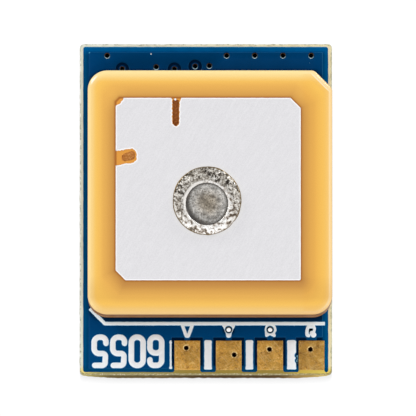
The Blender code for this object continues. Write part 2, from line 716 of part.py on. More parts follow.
def lidded_package(name, width, length, base_height, base_finish, lid_finish, parts, cutters):
    """A ceramic base with castellated corners, closed by a seam-welded metal lid."""
    base = add_solid(f"{name}_base", box_mesh(name, width, length, -base_height, 0), base_finish, parts)
    corners = [(x * width / 2, y * length / 2) for x in (-1, 1) for y in (-1, 1)]
    cutter = drills(f"{name}_castellations", corners, 2 * CASTELLATION_RADIUS, 8,
                    -2 * base_height, base_height, cutters)
    combine(base, seat_on_back(cutter, name), "DIFFERENCE")
    seat_on_back(base, name)
    outline = rounded_rectangle(0, 0, width - 2 * LID_INSET, length - 2 * LID_INSET, LID_CORNER_RADIUS, 45)
    lid = plate(f"{name}_lid", outline, -LID_HEIGHT, 0, lid_finish, parts)
    round_edges(lid, PACKAGE_BEVEL)
    seat_on_back(lid, name, base_height + SEAT)


def make_timing_and_filter(parts, cutters, base_finish, lid_finish):
    lidded_package("oscillator", OSCILLATOR_WIDTH, OSCILLATOR_LENGTH, OSCILLATOR_BASE_HEIGHT,
                   base_finish, lid_finish, parts, cutters)
    lidded_package("clock_crystal", CRYSTAL_WIDTH, CRYSTAL_LENGTH, CRYSTAL_BASE_HEIGHT,
                   base_finish, lid_finish, parts, cutters)
    body = box_mesh("saw_filter", FILTER_WIDTH, FILTER_LENGTH, -FILTER_HEIGHT, 0)
    saw = add_solid("saw_filter", body, base_finish, parts)
    round_edges(saw, PACKAGE_BEVEL)
    seat_on_back(saw, "saw_filter")


def taper(mesh, split, draft):
    """Cut a block level at a height, and draw its other corners in by the draft."""
    shape = bmesh.new()
    shape.from_mesh(mesh)
    geometry = shape.verts[:] + shape.edges[:] + shape.faces[:]
    bmesh.ops.bisect_plane(shape, geom=geometry, dist=TINY, plane_co=(0, 0, split), plane_no=(0, 0, 1))
    for vert in shape.verts:
        if abs(vert.co.z - split) > TINY:
            vert.co.x -= math.copysign(draft, vert.co.x)
            vert.co.y -= math.copysign(draft, vert.co.y)
    shape.to_mesh(mesh)
    shape.free()


def make_regulator(parts, body_finish, lead_finish):
    top = REGULATOR_STANDOFF + REGULATOR_BODY_HEIGHT
    parting = REGULATOR_STANDOFF + REGULATOR_BODY_HEIGHT / 2
    mesh = box_mesh("regulator_body", REGULATOR_WIDTH, REGULATOR_LENGTH, -top, -REGULATOR_STANDOFF)
    taper(mesh, -parting, REGULATOR_DRAFT)
    seat_on_back(add_solid("regulator_body", mesh, body_finish, parts), "regulator")
    shoulder = REGULATOR_LENGTH / 2 + SEAT
    toe = REGULATOR_LENGTH / 2 + REGULATOR_LEAD_REACH
    heel = toe - REGULATOR_FOOT
    half = REGULATOR_LEAD_THICKNESS / 2
    path = [
        (shoulder, -parting),
        ((shoulder + heel) / 2, -parting),
        (heel, -half),
        (toe, -half),
    ]
    outline = thick_path(path, REGULATOR_LEAD_THICKNESS)
    lead = plate_mesh("regulator_lead", outline, -REGULATOR_LEAD_WIDTH / 2, REGULATOR_LEAD_WIDTH / 2)
    lead.transform(Matrix.Rotation(math.radians(90), 4, "X"))
    places = [(side, 1) for side in (-1, 0, 1)] + [(side, -1) for side in (-1, 1)]
    for number, (along, side) in enumerate(places, start=1):
        obj = add_solid(f"regulator_lead_{number}", lead, lead_finish, parts)
        seat_on_back(obj, "regulator")
        obj.location.x += along * REGULATOR_LEAD_PITCH
        obj.rotation_euler.z += math.radians(90 * side)


def make_backup_cell(parts, can_finish, seal_finish, tab_finish):
    radius = CELL_DIAMETER / 2
    cap = radius - CELL_RIM
    edge = CELL_EDGE_RADIUS
    rim = CELL_CAP_HEIGHT - CELL_SEAL_HEIGHT
    slope = edge / 2
    cap_solid = turned("cell_cap", [
        (0, 0), (cap - slope, 0), (cap, -rim), (cap, -CELL_CAP_HEIGHT), (0, -CELL_CAP_HEIGHT),
    ], CELL_SIDES, can_finish, parts)
    seal = turned("cell_seal", [
        (cap + CELL_SEAL_WIDTH, -rim),
        (cap + CELL_SEAL_WIDTH, -CELL_CAP_HEIGHT),
        (cap + SEAT, -CELL_CAP_HEIGHT),
        (cap + SEAT, -rim),
    ], CELL_SIDES, seal_finish, parts, closed=True)
    floor = -CELL_CAP_HEIGHT - SEAT
    lip = cap + CELL_SEAL_WIDTH + SEAT
    bend = [
        (radius - edge * (1 - math.cos(a)), -CELL_HEIGHT + edge * (1 - math.sin(a)))
        for a in (math.radians(angle) for angle in (0, 30, 60, 90))
    ]
    can = turned("cell_can", [
        (0, floor), (lip, floor), (lip, -rim), (radius, -rim - slope), *bend, (0, -CELL_HEIGHT),
    ], CELL_SIDES, can_finish, parts)
    inner_drop = TAB_THICKNESS + SEAT
    for obj in (cap_solid, seal, can):
        seat_on_back(obj, "backup_cell", inner_drop)
    reach = radius + TAB_REACH
    inner = box_mesh("cell_tab_inner", TAB_WIDTH, reach + TAB_WELD_REACH, -TAB_THICKNESS, 0,
                     (0, (reach - TAB_WELD_REACH) / 2))
    seat_on_back(add_solid("cell_tab_inner", inner, tab_finish, parts), "backup_cell")
    outer_level = -inner_drop - CELL_HEIGHT - SEAT - TAB_THICKNESS / 2
    half = TAB_THICKNESS / 2
    path = [
        (-TAB_WELD_REACH, outer_level),
        (radius + 2 * TAB_THICKNESS, outer_level),
        (radius + 2 * TAB_THICKNESS, -half),
        (reach, -half),
    ]
    outer = plate_mesh("cell_tab_outer", thick_path(path, TAB_THICKNESS), -TAB_WIDTH / 2, TAB_WIDTH / 2)
    outer.transform(Matrix.Rotation(math.radians(-90), 4, "Z") @ Matrix.Rotation(math.radians(90), 4, "X"))
    seat_on_back(add_solid("cell_tab_outer", outer, tab_finish, parts), "backup_cell")


def make_light(name, parts, base_finish, lens_finish):
    base = box_mesh(f"{name}_base", LIGHT_LENGTH, LIGHT_WIDTH, -LIGHT_BASE_HEIGHT, 0)
    seat_on_back(add_solid(f"{name}_base", base, base_finish, parts), name)
    lens = box_mesh(f"{name}_lens", LENS_LENGTH, LIGHT_WIDTH, -LENS_HEIGHT, 0)
    taper(lens, 0, LENS_DRAFT)
    solid = add_solid(f"{name}_lens", lens, lens_finish, parts)
    seat_on_back(solid, name, LIGHT_BASE_HEIGHT + SEAT)


def chip_part_mesh(name, length, width, height, end, bevel):
    """A chip part: a block whose metal ends stand a little proud of its body."""
    mesh = box_mesh(name, length, width, -height, 0)
    shape = bmesh.new()
    shape.from_mesh(mesh)
    bmesh.ops.bevel(shape, geom=shape.edges[:], offset=bevel, segments=1, affect="EDGES")
    step = length / 2 - end
    for x in (-step, -step + METAL_END_PROUD, step - METAL_END_PROUD, step):
        geometry = shape.verts[:] + shape.edges[:] + shape.faces[:]
        bmesh.ops.bisect_plane(shape, geom=geometry, dist=TINY, plane_co=(x, 0, 0), plane_no=(1, 0, 0))
    for vert in shape.verts:
        if abs(vert.co.x) < step - METAL_END_PROUD / 2:
            vert.co.y *= 1 - 2 * METAL_END_PROUD / width
            vert.co.z = -METAL_END_PROUD + vert.co.z * (1 - 2 * METAL_END_PROUD / height)
    shape.to_mesh(mesh)
    shape.free()
    return mesh


def make_chip_parts(parts, capacitor_finish, inductor_finish, resistor_finish):
    kinds = (
        ("bulk_capacitor", (BULK_CAPACITOR_LENGTH, BULK_CAPACITOR_WIDTH, BULK_CAPACITOR_HEIGHT,
                            BULK_CAPACITOR_END), capacitor_finish),
        ("capacitor", (CHIP_PART_LENGTH, CHIP_PART_WIDTH, CAPACITOR_HEIGHT, CHIP_PART_END), capacitor_finish),
        ("inductor", (CHIP_PART_LENGTH, CHIP_PART_WIDTH, INDUCTOR_HEIGHT, CHIP_PART_END), inductor_finish),
        ("resistor", (CHIP_PART_LENGTH, CHIP_PART_WIDTH, RESISTOR_HEIGHT, CHIP_PART_END), resistor_finish),
    )
    for kind, sizes, finish in kinds:
        mesh = chip_part_mesh(kind, *sizes, CHIP_PART_BEVEL)
        for place in BACK_SHARES:
            if place.rstrip("0123456789") == f"{kind}_":
                seat_on_back(add_solid(place, mesh, finish, parts), place)


def make_module():
    clear_scene()
    parts = new_collection("gps_module")
    cutters = new_collection("cutters")
    blue_mask = new_finish("blue_solder_mask", (0.0, 0.036, 0.13), 0.35)
    gold = new_finish("gold_plating", (0.48, 0.26, 0.06), 0.35, 1.0)
    ink = new_finish("white_ink", (0.74, 0.75, 0.76), 0.6)
    amber = new_finish("amber_ceramic", (0.83, 0.46, 0.10), 0.45)
    silver = new_finish("fired_silver", (0.76, 0.76, 0.77), 0.5, 0.6)
    tape = new_finish("foam_tape", (0.02, 0.02, 0.02), 0.8)
    tin = new_finish("tinned_pin", (0.32, 0.29, 0.25), 0.45, 1.0)
    solder = new_finish("solder", (0.62, 0.62, 0.62), 0.3, 1.0)
    resin = new_finish("black_moulding", (0.015, 0.015, 0.016), 0.5)
    brown = new_finish("brown_ceramic", (0.23, 0.13, 0.07), 0.45)
    cream = new_finish("cream_ceramic", (0.60, 0.52, 0.40), 0.5)
    steel = new_finish("bright_steel", (0.55, 0.55, 0.54), 0.25, 1.0)
    seal = new_finish("seal_plastic", (0.05, 0.05, 0.05), 0.6)
    lens = new_finish("clear_resin", (0.75, 0.74, 0.68), 0.15)
    make_board(parts, cutters, blue_mask)
    make_pads(parts, gold)
    make_print(parts, ink)
    make_antenna(parts, cutters, tape, silver, amber)
    make_feed(parts, cutters, tin, solder)
    make_receiver(parts, cutters, resin)
    make_timing_and_filter(parts, cutters, cream, steel)
    make_regulator(parts, resin, solder)
    make_backup_cell(parts, steel, seal, steel)
    make_light("power_light", parts, cream, lens)
    make_light("fix_light", parts, cream, lens)
    make_chip_parts(parts, brown, resin, resin)


make_module()
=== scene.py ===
"""Looks of a satellite receiver module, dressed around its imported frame.

Lengths are in metres. Seen from the front, +X is to the right, +Y is up and +Z comes forward.
"""
import math

import bmesh
import bpy
from mathutils import Matrix, Vector, geometry, noise


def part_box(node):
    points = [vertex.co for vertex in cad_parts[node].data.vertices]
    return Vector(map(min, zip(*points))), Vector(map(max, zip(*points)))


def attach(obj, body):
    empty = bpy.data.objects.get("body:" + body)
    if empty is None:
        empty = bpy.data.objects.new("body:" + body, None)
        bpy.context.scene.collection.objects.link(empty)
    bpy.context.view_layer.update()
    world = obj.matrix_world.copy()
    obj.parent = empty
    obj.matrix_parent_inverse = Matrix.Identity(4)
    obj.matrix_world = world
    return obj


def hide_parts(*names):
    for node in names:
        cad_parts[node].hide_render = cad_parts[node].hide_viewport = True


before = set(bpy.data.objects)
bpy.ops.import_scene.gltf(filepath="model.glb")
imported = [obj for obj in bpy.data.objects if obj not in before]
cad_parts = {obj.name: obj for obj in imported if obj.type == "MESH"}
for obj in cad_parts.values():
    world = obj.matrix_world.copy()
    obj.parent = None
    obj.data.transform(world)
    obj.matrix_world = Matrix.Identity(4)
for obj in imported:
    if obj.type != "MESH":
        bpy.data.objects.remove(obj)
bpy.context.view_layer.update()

# View of the photograph
# A long lens looks straight down on the module, tilted a little towards the wire pads, so that
# of the ceramic block's walls only the lower one shows.
MM = 0.001
PHOTO_SIDE = 416
PHOTO_PIXELS_PER_MM = 16.3
VIEW_MIDDLE = Vector((0.135, 0.098)) * MM
VIEW_DISTANCE = 1.0
VIEW_TILT = math.radians(3.0)
SENSOR_WIDTH = 36.0

SNAPPED_WEB = 0.12 * MM
board_low, board_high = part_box("circuit_board")
board_low.y += SNAPPED_WEB
camera_data = bpy.data.cameras.new("camera")
camera_data.sensor_width = SENSOR_WIDTH
camera_data.lens = SENSOR_WIDTH * VIEW_DISTANCE / (PHOTO_SIDE / PHOTO_PIXELS_PER_MM * MM)
camera = bpy.data.objects.new("camera", camera_data)
camera.location = (
    VIEW_MIDDLE.x,
    VIEW_MIDDLE.y - VIEW_DISTANCE * math.sin(VIEW_TILT),
    board_high.z + VIEW_DISTANCE * math.cos(VIEW_TILT),
)
camera.rotation_euler = (VIEW_TILT, 0, 0)
bpy.context.scene.collection.objects.link(camera)
bpy.context.scene.camera = camera
bpy.context.scene.view_settings.view_transform = "Standard"


# Studio
# A white tent with a small dark opening overhead, where the camera looks in, two soft lamps
# beyond the module's upper corners, and a white light table that keeps a faint shadow. The table
# can be seen through from below.
OPENING_EDGE = 0.975
TENT_STOPS = (
    (0.0, 0.85),
    (0.35, 0.90),
    (0.75, 1.05),
    (0.92, 1.15),
    (OPENING_EDGE, 0.0),
    (1.0, 0.0),
)
FRONT_GAIN = 0.35
LAMP_DISTANCE = 0.32
LAMP_SIDE = 0.045
LAMP_POWER = 0.28
LAMP_PLACES = ((-0.78, 0.58, 0.22), (0.70, 0.70, 0.22))
TABLE_REACH = 2.0
TABLE_DROP = 0.01 * MM
TABLE_SHADE = 0.02
TABLE_GLOW = 0.815
SHADOW_LAMP_DISTANCE = 1.0
SHADOW_LAMP_TILT = math.radians(4.0)
SHADOW_LAMP_SIZE = (0.01, 0.26)
SHADOW_LAMP_POWER = 102.0
TABLE_BOUNCE = 0.70


def node(material, kind, inputs=None, **settings):
    """Add a shader node. Each of its inputs is a socket to link to, or a plain value."""
    made = material.node_tree.nodes.new(f"ShaderNode{kind}")
    for name, value in settings.items():
        setattr(made, name, value)
    for name, value in (inputs or {}).items():
        if isinstance(value, bpy.types.NodeSocket):
            material.node_tree.links.new(value, made.inputs[name])
        else:
            made.inputs[name].default_value = value
    return made


def camera_sees(material):
    """1 on rays that show the backdrop: straight to the camera, mirrored, or through glass."""
    path = node(material, "LightPath")
    seen = node(material, "Math", {0: path.outputs["Is Camera Ray"], 1: path.outputs["Is Glossy Ray"]},
                operation="MAXIMUM")
    return node(material, "Math", {0: seen.outputs[0], 1: path.outputs["Is Transmission Ray"]},
                operation="MAXIMUM").outputs[0]


world = bpy.data.worlds.new("tent")
world.use_nodes = True
bpy.context.scene.world = world
direction = node(world, "TexCoord").outputs["Generated"]
height = node(world, "SeparateXYZ", {0: direction}).outputs["Z"]
tent = node(world, "ValToRGB", {0: height})
while len(tent.color_ramp.elements) < len(TENT_STOPS):
    tent.color_ramp.elements.new(1.0)
for element, (place, strength) in zip(tent.color_ramp.elements, TENT_STOPS):
    element.position = place
    element.color = (strength, strength, strength, 1)
toward_front = node(world, "SeparateXYZ", {0: direction}).outputs["Y"]
gain = node(world, "MapRange", {0: toward_front, 1: 1.0, 2: -1.0, 3: 1.0 - FRONT_GAIN, 4: 1.0 + FRONT_GAIN}).outputs[0]
tent_light = node(world, "Background", {"Color": tent.outputs["Color"], "Strength": gain})
white = node(world, "Background", {"Color": (1, 1, 1, 1), "Strength": 1.0})
is_camera = node(world, "LightPath").outputs["Is Camera Ray"]
shown = node(world, "MixShader", {0: is_camera, 1: tent_light.outputs[0], 2: white.outputs[0]})
world.node_tree.links.new(shown.outputs[0], world.node_tree.nodes["World Output"].inputs["Surface"])

for number, place in enumerate(LAMP_PLACES, start=1):
    lamp_data = bpy.data.lights.new(f"lamp_{number}", "AREA")
    lamp_data.shape = "SQUARE"
    lamp_data.size = LAMP_SIDE
    lamp_data.energy = LAMP_POWER
    lamp = bpy.data.objects.new(f"lamp_{number}", lamp_data)
    lamp.location = Vector(place).normalized() * LAMP_DISTANCE
    lamp.rotation_euler = Vector(place).to_track_quat("Z", "Y").to_euler()
    bpy.context.scene.collection.objects.link(lamp)

table_mesh = bpy.data.meshes.new("table")
table_shape = bmesh.new()
bmesh.ops.create_grid(table_shape, x_segments=1, y_segments=1, size=TABLE_REACH,
                      matrix=Matrix.Translation((0, 0, -TABLE_DROP)))
table_shape.to_mesh(table_mesh)
table_shape.free()
table = bpy.data.objects.new("table", table_mesh)
bpy.context.scene.collection.objects.link(table)
shadow_data = bpy.data.lights.new("shadow_lamp", "AREA")
shadow_data.shape = "RECTANGLE"
shadow_data.size, shadow_data.size_y = SHADOW_LAMP_SIZE
shadow_data.energy = SHADOW_LAMP_POWER
shadow_lamp = bpy.data.objects.new("shadow_lamp", shadow_data)
shadow_lamp.location = (0, SHADOW_LAMP_DISTANCE * math.sin(SHADOW_LAMP_TILT),
                        SHADOW_LAMP_DISTANCE * math.cos(SHADOW_LAMP_TILT))
shadow_lamp.rotation_euler = (-SHADOW_LAMP_TILT, 0, 0)
bpy.context.scene.collection.objects.link(shadow_lamp)
lit_by_it = bpy.data.collections.new("lit_by_shadow_lamp")
lit_by_it.objects.link(table)
shadow_lamp.light_linking.receiver_collection = lit_by_it
paper = bpy.data.materials.new("white_paper")
paper.use_nodes = True
paper.node_tree.nodes.remove(paper.node_tree.nodes["Principled BSDF"])
matt = node(paper, "BsdfDiffuse", {"Color": (TABLE_SHADE, TABLE_SHADE, TABLE_SHADE, 1)})
glow = node(paper, "Emission", {"Color": (1, 1, 1, 1), "Strength": TABLE_GLOW})
lit = node(paper, "AddShader", {0: matt.outputs[0], 1: glow.outputs[0]})
light_from_table = node(paper, "Emission", {"Color": (1, 1, 1, 1), "Strength": TABLE_BOUNCE})
paper_seen = node(paper, "MixShader", {0: camera_sees(paper), 1: light_from_table.outputs[0], 2: lit.outputs[0]})
through = node(paper, "BsdfTransparent", {"Color": (1, 1, 1, 1)})
below = node(paper, "NewGeometry").outputs["Backfacing"]
one_sided = node(paper, "MixShader", {0: below, 1: paper_seen.outputs[0], 2: through.outputs[0]})
paper.node_tree.links.new(one_sided.outputs[0], paper.node_tree.nodes["Material Output"].inputs["Surface"])
table_mesh.materials.append(paper)


# Laminate
# Sheet of glass cloth and epoxy, routed and snapped out of a panel, so its edges are pale and
# rough and show the cloth. The copper and the solder mask of both faces lie on it.
FILM = 0.018 * MM
COPPER = 0.030 * MM
LAMINATE_TOP = board_high.z - FILM - COPPER
LAMINATE_BOTTOM = board_low.z + FILM + COPPER
LAMINATE_CORNER = 0.25 * MM
EDGE_WANDER = 0.03 * MM
EDGE_SPACING = 0.10 * MM
VIA_HOLE = 0.145 * MM
VIA_SIDES = 24
VIA_ROW_FROM_TOP = 0.70 * MM
GROUND_VIA_PITCH = 1.73 * MM
GROUND_VIA_FROM_RIGHT = 1.27 * MM
CORNER_VIA_FROM_LEFT = 1.68 * MM
SIGNAL_VIAS_FROM_CORNER = ((2.61, 1.53), (4.69, 1.41), (5.81, 1.53), (7.08, 1.36), (7.95, 1.33))
PAD_VIAS_FROM_MIDDLE = ((-0.06, 0.45), (0.34, 0.03), (-0.04, 0.37), (-0.07, 0.36))
LABEL_VIA_RISE = 1.58 * MM
FEED_HOLE = 0.575 * MM


def srgb(red, green, blue):
    """A colour as a picture shows it, each part from 0 to 255, made linear."""
    parts = (part / 255 for part in (red, green, blue))
    linear = [p / 12.92 if p <= 0.04045 else ((p + 0.055) / 1.055) ** 2.4 for p in parts]
    return (*linear, 1.0)


def finish(name, colour, roughness, metallic=0.0, **more):
    """A new material with the values that are the same all over it."""
    material = bpy.data.materials.new(name)
    material.use_nodes = True
    shader = material.node_tree.nodes["Principled BSDF"]
    shader.inputs["Base Color"].default_value = colour
    shader.inputs["Roughness"].default_value = roughness
    shader.inputs["Metallic"].default_value = metallic
    for label, value in more.items():
        shader.inputs[label.replace("_", " ")].default_value = value
    return material


def drive(material, label, socket):
    """Let a pattern set one of a material's shader inputs."""
    shader = material.node_tree.nodes["Principled BSDF"]
    material.node_tree.links.new(socket, shader.inputs[label])


def place_in(material, scale=(1, 1, 1), turn=0.0, middle=(0, 0, 0)):
    """Where on the object a point lies, seen from a middle, turned about Z and stretched."""
    point = node(material, "TexCoord").outputs["Object"]
    moved = node(material, "Mapping", {0: point, "Location": middle, "Rotation": (0, 0, turn)}, vector_type="TEXTURE")
    return node(material, "Mapping", {0: moved.outputs[0], "Scale": scale}).outputs[0]


def grain(material, size, detail=3.0, place=None, roughness=0.55, distortion=0.0):
    """Soft cloudy pattern, 0 to 1, whose patches are about as large as size."""
    place = place or place_in(material)
    return node(material, "TexNoise", {"Vector": place, "Scale": 1 / size, "Detail": detail,
                                       "Roughness": roughness, "Distortion": distortion}).outputs[0]


def ramp(material, value, stops, shape="LINEAR"):
    """Turn a value into colours or greys, each given as (place, colour or grey)."""
    made = node(material, "ValToRGB", {0: value})
    made.color_ramp.interpolation = shape
    elements = made.color_ramp.elements
    while len(elements) < len(stops):
        elements.new(1.0)
    for element, (place, shade) in zip(elements, stops):
        element.position = place
        element.color = shade if isinstance(shade, tuple) else (shade, shade, shade, 1)
    return made.outputs[0]


def mix(material, factor, first, second, blend="MIX"):
    """Mix two colours, or a colour and a pattern."""
    made = node(material, "MixRGB", {0: factor, 1: first, 2: second}, blend_type=blend)
    return made.outputs[0]


def calculate(material, operation, first, second=0.0, third=0.0):
    return node(material, "Math", {0: first, 1: second, 2: third}, operation=operation).outputs[0]


def edge_distance(material, low, high, corner):
    """How far inside a rounded rectangle a point lies, in millimetres; negative outside it."""
    middle = ((low.x + high.x) / 2, (low.y + high.y) / 2, 0)
    reach = ((high.x - low.x) / 2 - corner, (high.y - low.y) / 2 - corner, 1)
    point = node(material, "Mapping", {0: node(material, "TexCoord").outputs["Object"],
                                       "Location": [-part for part in middle]}).outputs[0]
    folded = node(material, "VectorMath", {0: point}, operation="ABSOLUTE").outputs[0]
    beyond = node(material, "VectorMath", {0: folded, 1: reach}, operation="SUBTRACT").outputs[0]
    split = node(material, "SeparateXYZ", {0: beyond})
    inner = calculate(material, "MAXIMUM", split.outputs[0], split.outputs[1])
    inner = calculate(material, "MINIMUM", inner, 0.0)
    right = calculate(material, "MAXIMUM", split.outputs[0], 0.0)
    up = calculate(material, "MAXIMUM", split.outputs[1], 0.0)
    squares = calculate(material, "ADD", calculate(material, "MULTIPLY", right, right),
                        calculate(material, "MULTIPLY", up, up))
    outer = calculate(material, "SQRT", squares)
    total = calculate(material, "ADD", inner, outer)
    inside = calculate(material, "SUBTRACT", corner, total)
    return calculate(material, "MULTIPLY", inside, 1 / MM)


def bump(material, heights, depth, strength=1.0):
    """Roughen a material by a pattern that stands up to depth proud."""
    made = node(material, "Bump", {"Height": heights, "Distance": depth, "Strength": strength})
    drive(material, "Normal", made.outputs[0])


def filleted(corners, step=15.0):
    """The closed outline through corners given as (x, y, radius), each rounded to its radius."""
    points = []
    for index, (x, y, radius) in enumerate(corners):
        corner = Vector((x, y))
        to_last = (Vector(corners[index - 1][:2]) - corner).normalized()
        to_next = (Vector(corners[(index + 1) % len(corners)][:2]) - corner).normalized()
        turn = math.pi - to_last.angle(to_next)
        if radius <= 0 or turn < 1e-6:
            points.append((x, y))
            continue
        centre = corner + (to_last + to_next).normalized() * (radius / math.cos(turn / 2))
        first = corner + to_last * (radius * math.tan(turn / 2)) - centre
        side = math.copysign(1, -to_last.cross(to_next))
        steps = max(1, round(math.degrees(turn) / step))
        for number in range(steps + 1):
            points.append(tuple(centre + Matrix.Rotation(side * turn * number / steps, 2) @ first))
    return points


def rounded_rectangle(left, bottom, right, top, radius, step=15.0):
    corners = [(left, bottom, radius), (right, bottom, radius), (right, top, radius), (left, top, radius)]
    return filleted(corners, step)


def circle(centre, radius, sides=VIA_SIDES):
    angles = (2 * math.pi * number / sides for number in range(sides))
    return [(centre[0] + radius * math.cos(a), centre[1] + radius * math.sin(a)) for a in angles]


def spaced(outline, spacing):
    """The same closed outline, with points no further apart than the spacing."""
    points = []
    for index, here in enumerate(outline):
        start, end = Vector(outline[index - 1]), Vector(here)
        pieces = max(1, math.ceil((end - start).length / spacing))
        points += [tuple(start.lerp(end, (number + 1) / pieces)) for number in range(pieces)]
    return points


def inset(outline, distance):
    """The closed outline moved to its left, which is inwards where it runs anticlockwise."""
    moved = []
    for index, here in enumerate(outline):
        point = Vector(here)
        before = (point - Vector(outline[index - 1])).normalized()
        after = (Vector(outline[(index + 1) % len(outline)]) - point).normalized()
        along = (before + after).normalized()
        mitre = max(0.5, along.dot(after))
        moved.append(tuple(point + Vector((-along.y, along.x)) * distance / mitre))
    return moved


def ragged(outline, amount, size, seed=0.0):
    """The closed outline with each point moved sideways by a smooth random amount."""
    moved = []
    for index, here in enumerate(outline):
        point = Vector(here)
        along = (Vector(outline[(index + 1) % len(outline)]) - Vector(outline[index - 1])).normalized()
        shift = amount * noise.noise(Vector((point.x / size, point.y / size, seed)))
        moved.append(tuple(point + Vector((-along.y, along.x)) * shift))
    return moved


def ring(outline, height):
    return [(x, y, height) for x, y in outline]


def walled(name, stacks):
    """A closed mesh: each stack of rings makes a wall, and the first and last rings are filled in.
    The first stack is the outer wall, and the others are holes."""
    shape = bmesh.new()
    made = [[[shape.verts.new(point) for point in loop] for loop in stack] for stack in stacks]
    for stack in made:
        for lower, upper in zip(stack, stack[1:]):
            for index in range(len(lower)):
                shape.faces.new((lower[index - 1], lower[index], upper[index], upper[index - 1]))
    for level in (0, -1):
        verts, edges = [], []
        for loop in (stack[level] for stack in made):
            first, count = len(verts), len(loop)
            verts += loop
            edges += [(first + index, first + (index + 1) % count) for index in range(count)]
        flat = [vert.co.xy / MM for vert in verts]
        points, pairs, triangles, point_origins, pair_origins, _ = geometry.delaunay_2d_cdt(flat, edges, [], 0, 1e-7)
        corners = [
            verts[origins[0]] if origins else shape.verts.new((*(point * MM), verts[0].co.z))
            for point, origins in zip(points, point_origins)
        ]
        drawn = {frozenset(pair) for pair, origins in zip(pairs, pair_origins) if origins}
        beside = {}
        for number, triangle in enumerate(triangles):
            for index in range(3):
                beside.setdefault(frozenset((triangle[index - 1], triangle[index])), []).append(number)
        inside = {owners[0]: pair in drawn for pair, owners in beside.items() if len(owners) == 1}
        waiting = list(inside)
        while waiting:
            number = waiting.pop()
            triangle = triangles[number]
            for index in range(3):
                pair = frozenset((triangle[index - 1], triangle[index]))
                for neighbour in beside[pair]:
                    if neighbour not in inside:
                        inside[neighbour] = inside[number] != (pair in drawn)
                        waiting.append(neighbour)
        for number, triangle in enumerate(triangles):
            if inside.get(number):
                shape.faces.new([corners[index] for index in triangle])
    bmesh.ops.recalc_face_normals(shape, faces=shape.faces)
    if shape.calc_volume(signed=True) < 0:
        bmesh.ops.reverse_faces(shape, faces=shape.faces)
    mesh = bpy.data.meshes.new(name)
    shape.to_mesh(mesh)
    shape.free()
    return mesh


def raised(name, outline, levels, holes=()):
    """A flat piece whose walls follow levels, each (inset, height), from its foot to its top."""
    loops = (outline, *(hole[::-1] for hole in holes))
    return walled(name, [[ring(inset(loop, side), height) for side, height in levels] for loop in loops])


def fitted(name, mesh, material, replaces=(), smooth=40):
    """Make a mesh a piece of the module, riding on its one body."""
    mesh.shade_smooth()
    mesh.set_sharp_from_angle(angle=math.radians(smooth))
    if not mesh.materials:
        mesh.materials.append(material)
    piece = bpy.data.objects.new(name, mesh)
    bpy.context.scene.collection.objects.link(piece)
    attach(piece, "root")
    if replaces:
        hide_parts(*replaces)
    return piece


pad_boxes = [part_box(f"wire_pad_{number}") for number in range(1, 5)]
pad_middles = [(low + high) / 2 for low, high in pad_boxes]
via_row = board_high.y - VIA_ROW_FROM_TOP
ground_vias = [(board_high.x - GROUND_VIA_FROM_RIGHT - number * GROUND_VIA_PITCH, via_row) for number in range(4)]
ground_vias.append((board_low.x + CORNER_VIA_FROM_LEFT, via_row))
signal_vias = [(board_low.x + x * MM, board_high.y - y * MM) for x, y in SIGNAL_VIAS_FROM_CORNER]
label_vias = [(pad.x, pad.y + LABEL_VIA_RISE) for pad in pad_middles[1:]]
pad_vias = [(pad.x + x * MM, pad.y + y * MM) for pad, (x, y) in zip(pad_middles, PAD_VIAS_FROM_MIDDLE)]
all_vias = ground_vias + signal_vias + label_vias + pad_vias
feed_low, feed_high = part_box("feed_pin")
feed = (feed_low + feed_high) / 2

laminate_finish = finish("glass_epoxy", srgb(214, 205, 150), 0.75, Specular_IOR_Level=0.2)
cloth = grain(laminate_finish, 0.6 * MM, 2.0)
torn = grain(laminate_finish, 0.10 * MM, 4.0)
laminate_place = node(laminate_finish, "SeparateXYZ", {0: place_in(laminate_finish)})
rightness = node(laminate_finish, "MapRange", {0: laminate_place.outputs["X"], 1: board_low.x + 1.0 * MM,
                                               2: board_high.x - 1.0 * MM}).outputs[0]
along = node(laminate_finish, "MapRange", {0: laminate_place.outputs["X"], 1: board_low.x, 2: board_high.x}).outputs[0]
at_bottom = node(laminate_finish, "MapRange", {0: laminate_place.outputs["Y"], 1: board_low.y + 0.6 * MM,
                                               2: board_low.y + 0.3 * MM}).outputs[0]
fibre = ramp(laminate_finish, cloth, [(0.40, srgb(226, 230, 220)), (0.46, srgb(196, 202, 188)),
                                      (0.52, srgb(128, 136, 114)), (0.58, srgb(206, 208, 196))])
fibre = mix(laminate_finish, ramp(laminate_finish, torn, [(0.42, 0.0), (0.62, 0.5)]), fibre, srgb(250, 250, 244))
warm = mix(laminate_finish, rightness, srgb(255, 255, 255), srgb(252, 238, 196))
fibre = mix(laminate_finish, 1.0, fibre, warm, "MULTIPLY")
lower_fibre = ramp(laminate_finish, torn, [(0.38, srgb(150, 142, 96)), (0.55, srgb(178, 168, 130)), (0.68, srgb(224, 220, 200))])
lower_warm = ramp(laminate_finish, along, [(0.0, srgb(255, 246, 206)), (0.07, srgb(255, 255, 250)),
                                           (0.80, srgb(255, 250, 236)), (1.0, srgb(255, 238, 184))])
lower_fibre = mix(laminate_finish, 1.0, lower_fibre, lower_warm, "MULTIPLY")
fibre = mix(laminate_finish, at_bottom, fibre, lower_fibre)
bare = mix(laminate_finish, rightness, srgb(226, 227, 206), srgb(236, 224, 184))
lower_bare = ramp(laminate_finish, along, [
    (0.0, srgb(246, 226, 138)), (0.05, srgb(196, 182, 106)), (0.10, srgb(160, 148, 84)), (0.45, srgb(156, 134, 60)),
    (0.80, srgb(158, 136, 62)), (0.88, srgb(206, 178, 74)), (1.0, srgb(234, 212, 104))])
bare = mix(laminate_finish, at_bottom, bare, lower_bare)
on_slope = node(laminate_finish, "MapRange", {0: laminate_place.outputs["Z"], 1: LAMINATE_TOP - 0.002 * MM,
                                              2: LAMINATE_TOP - 0.012 * MM}).outputs[0]
top_colour = mix(laminate_finish, on_slope, bare, fibre)
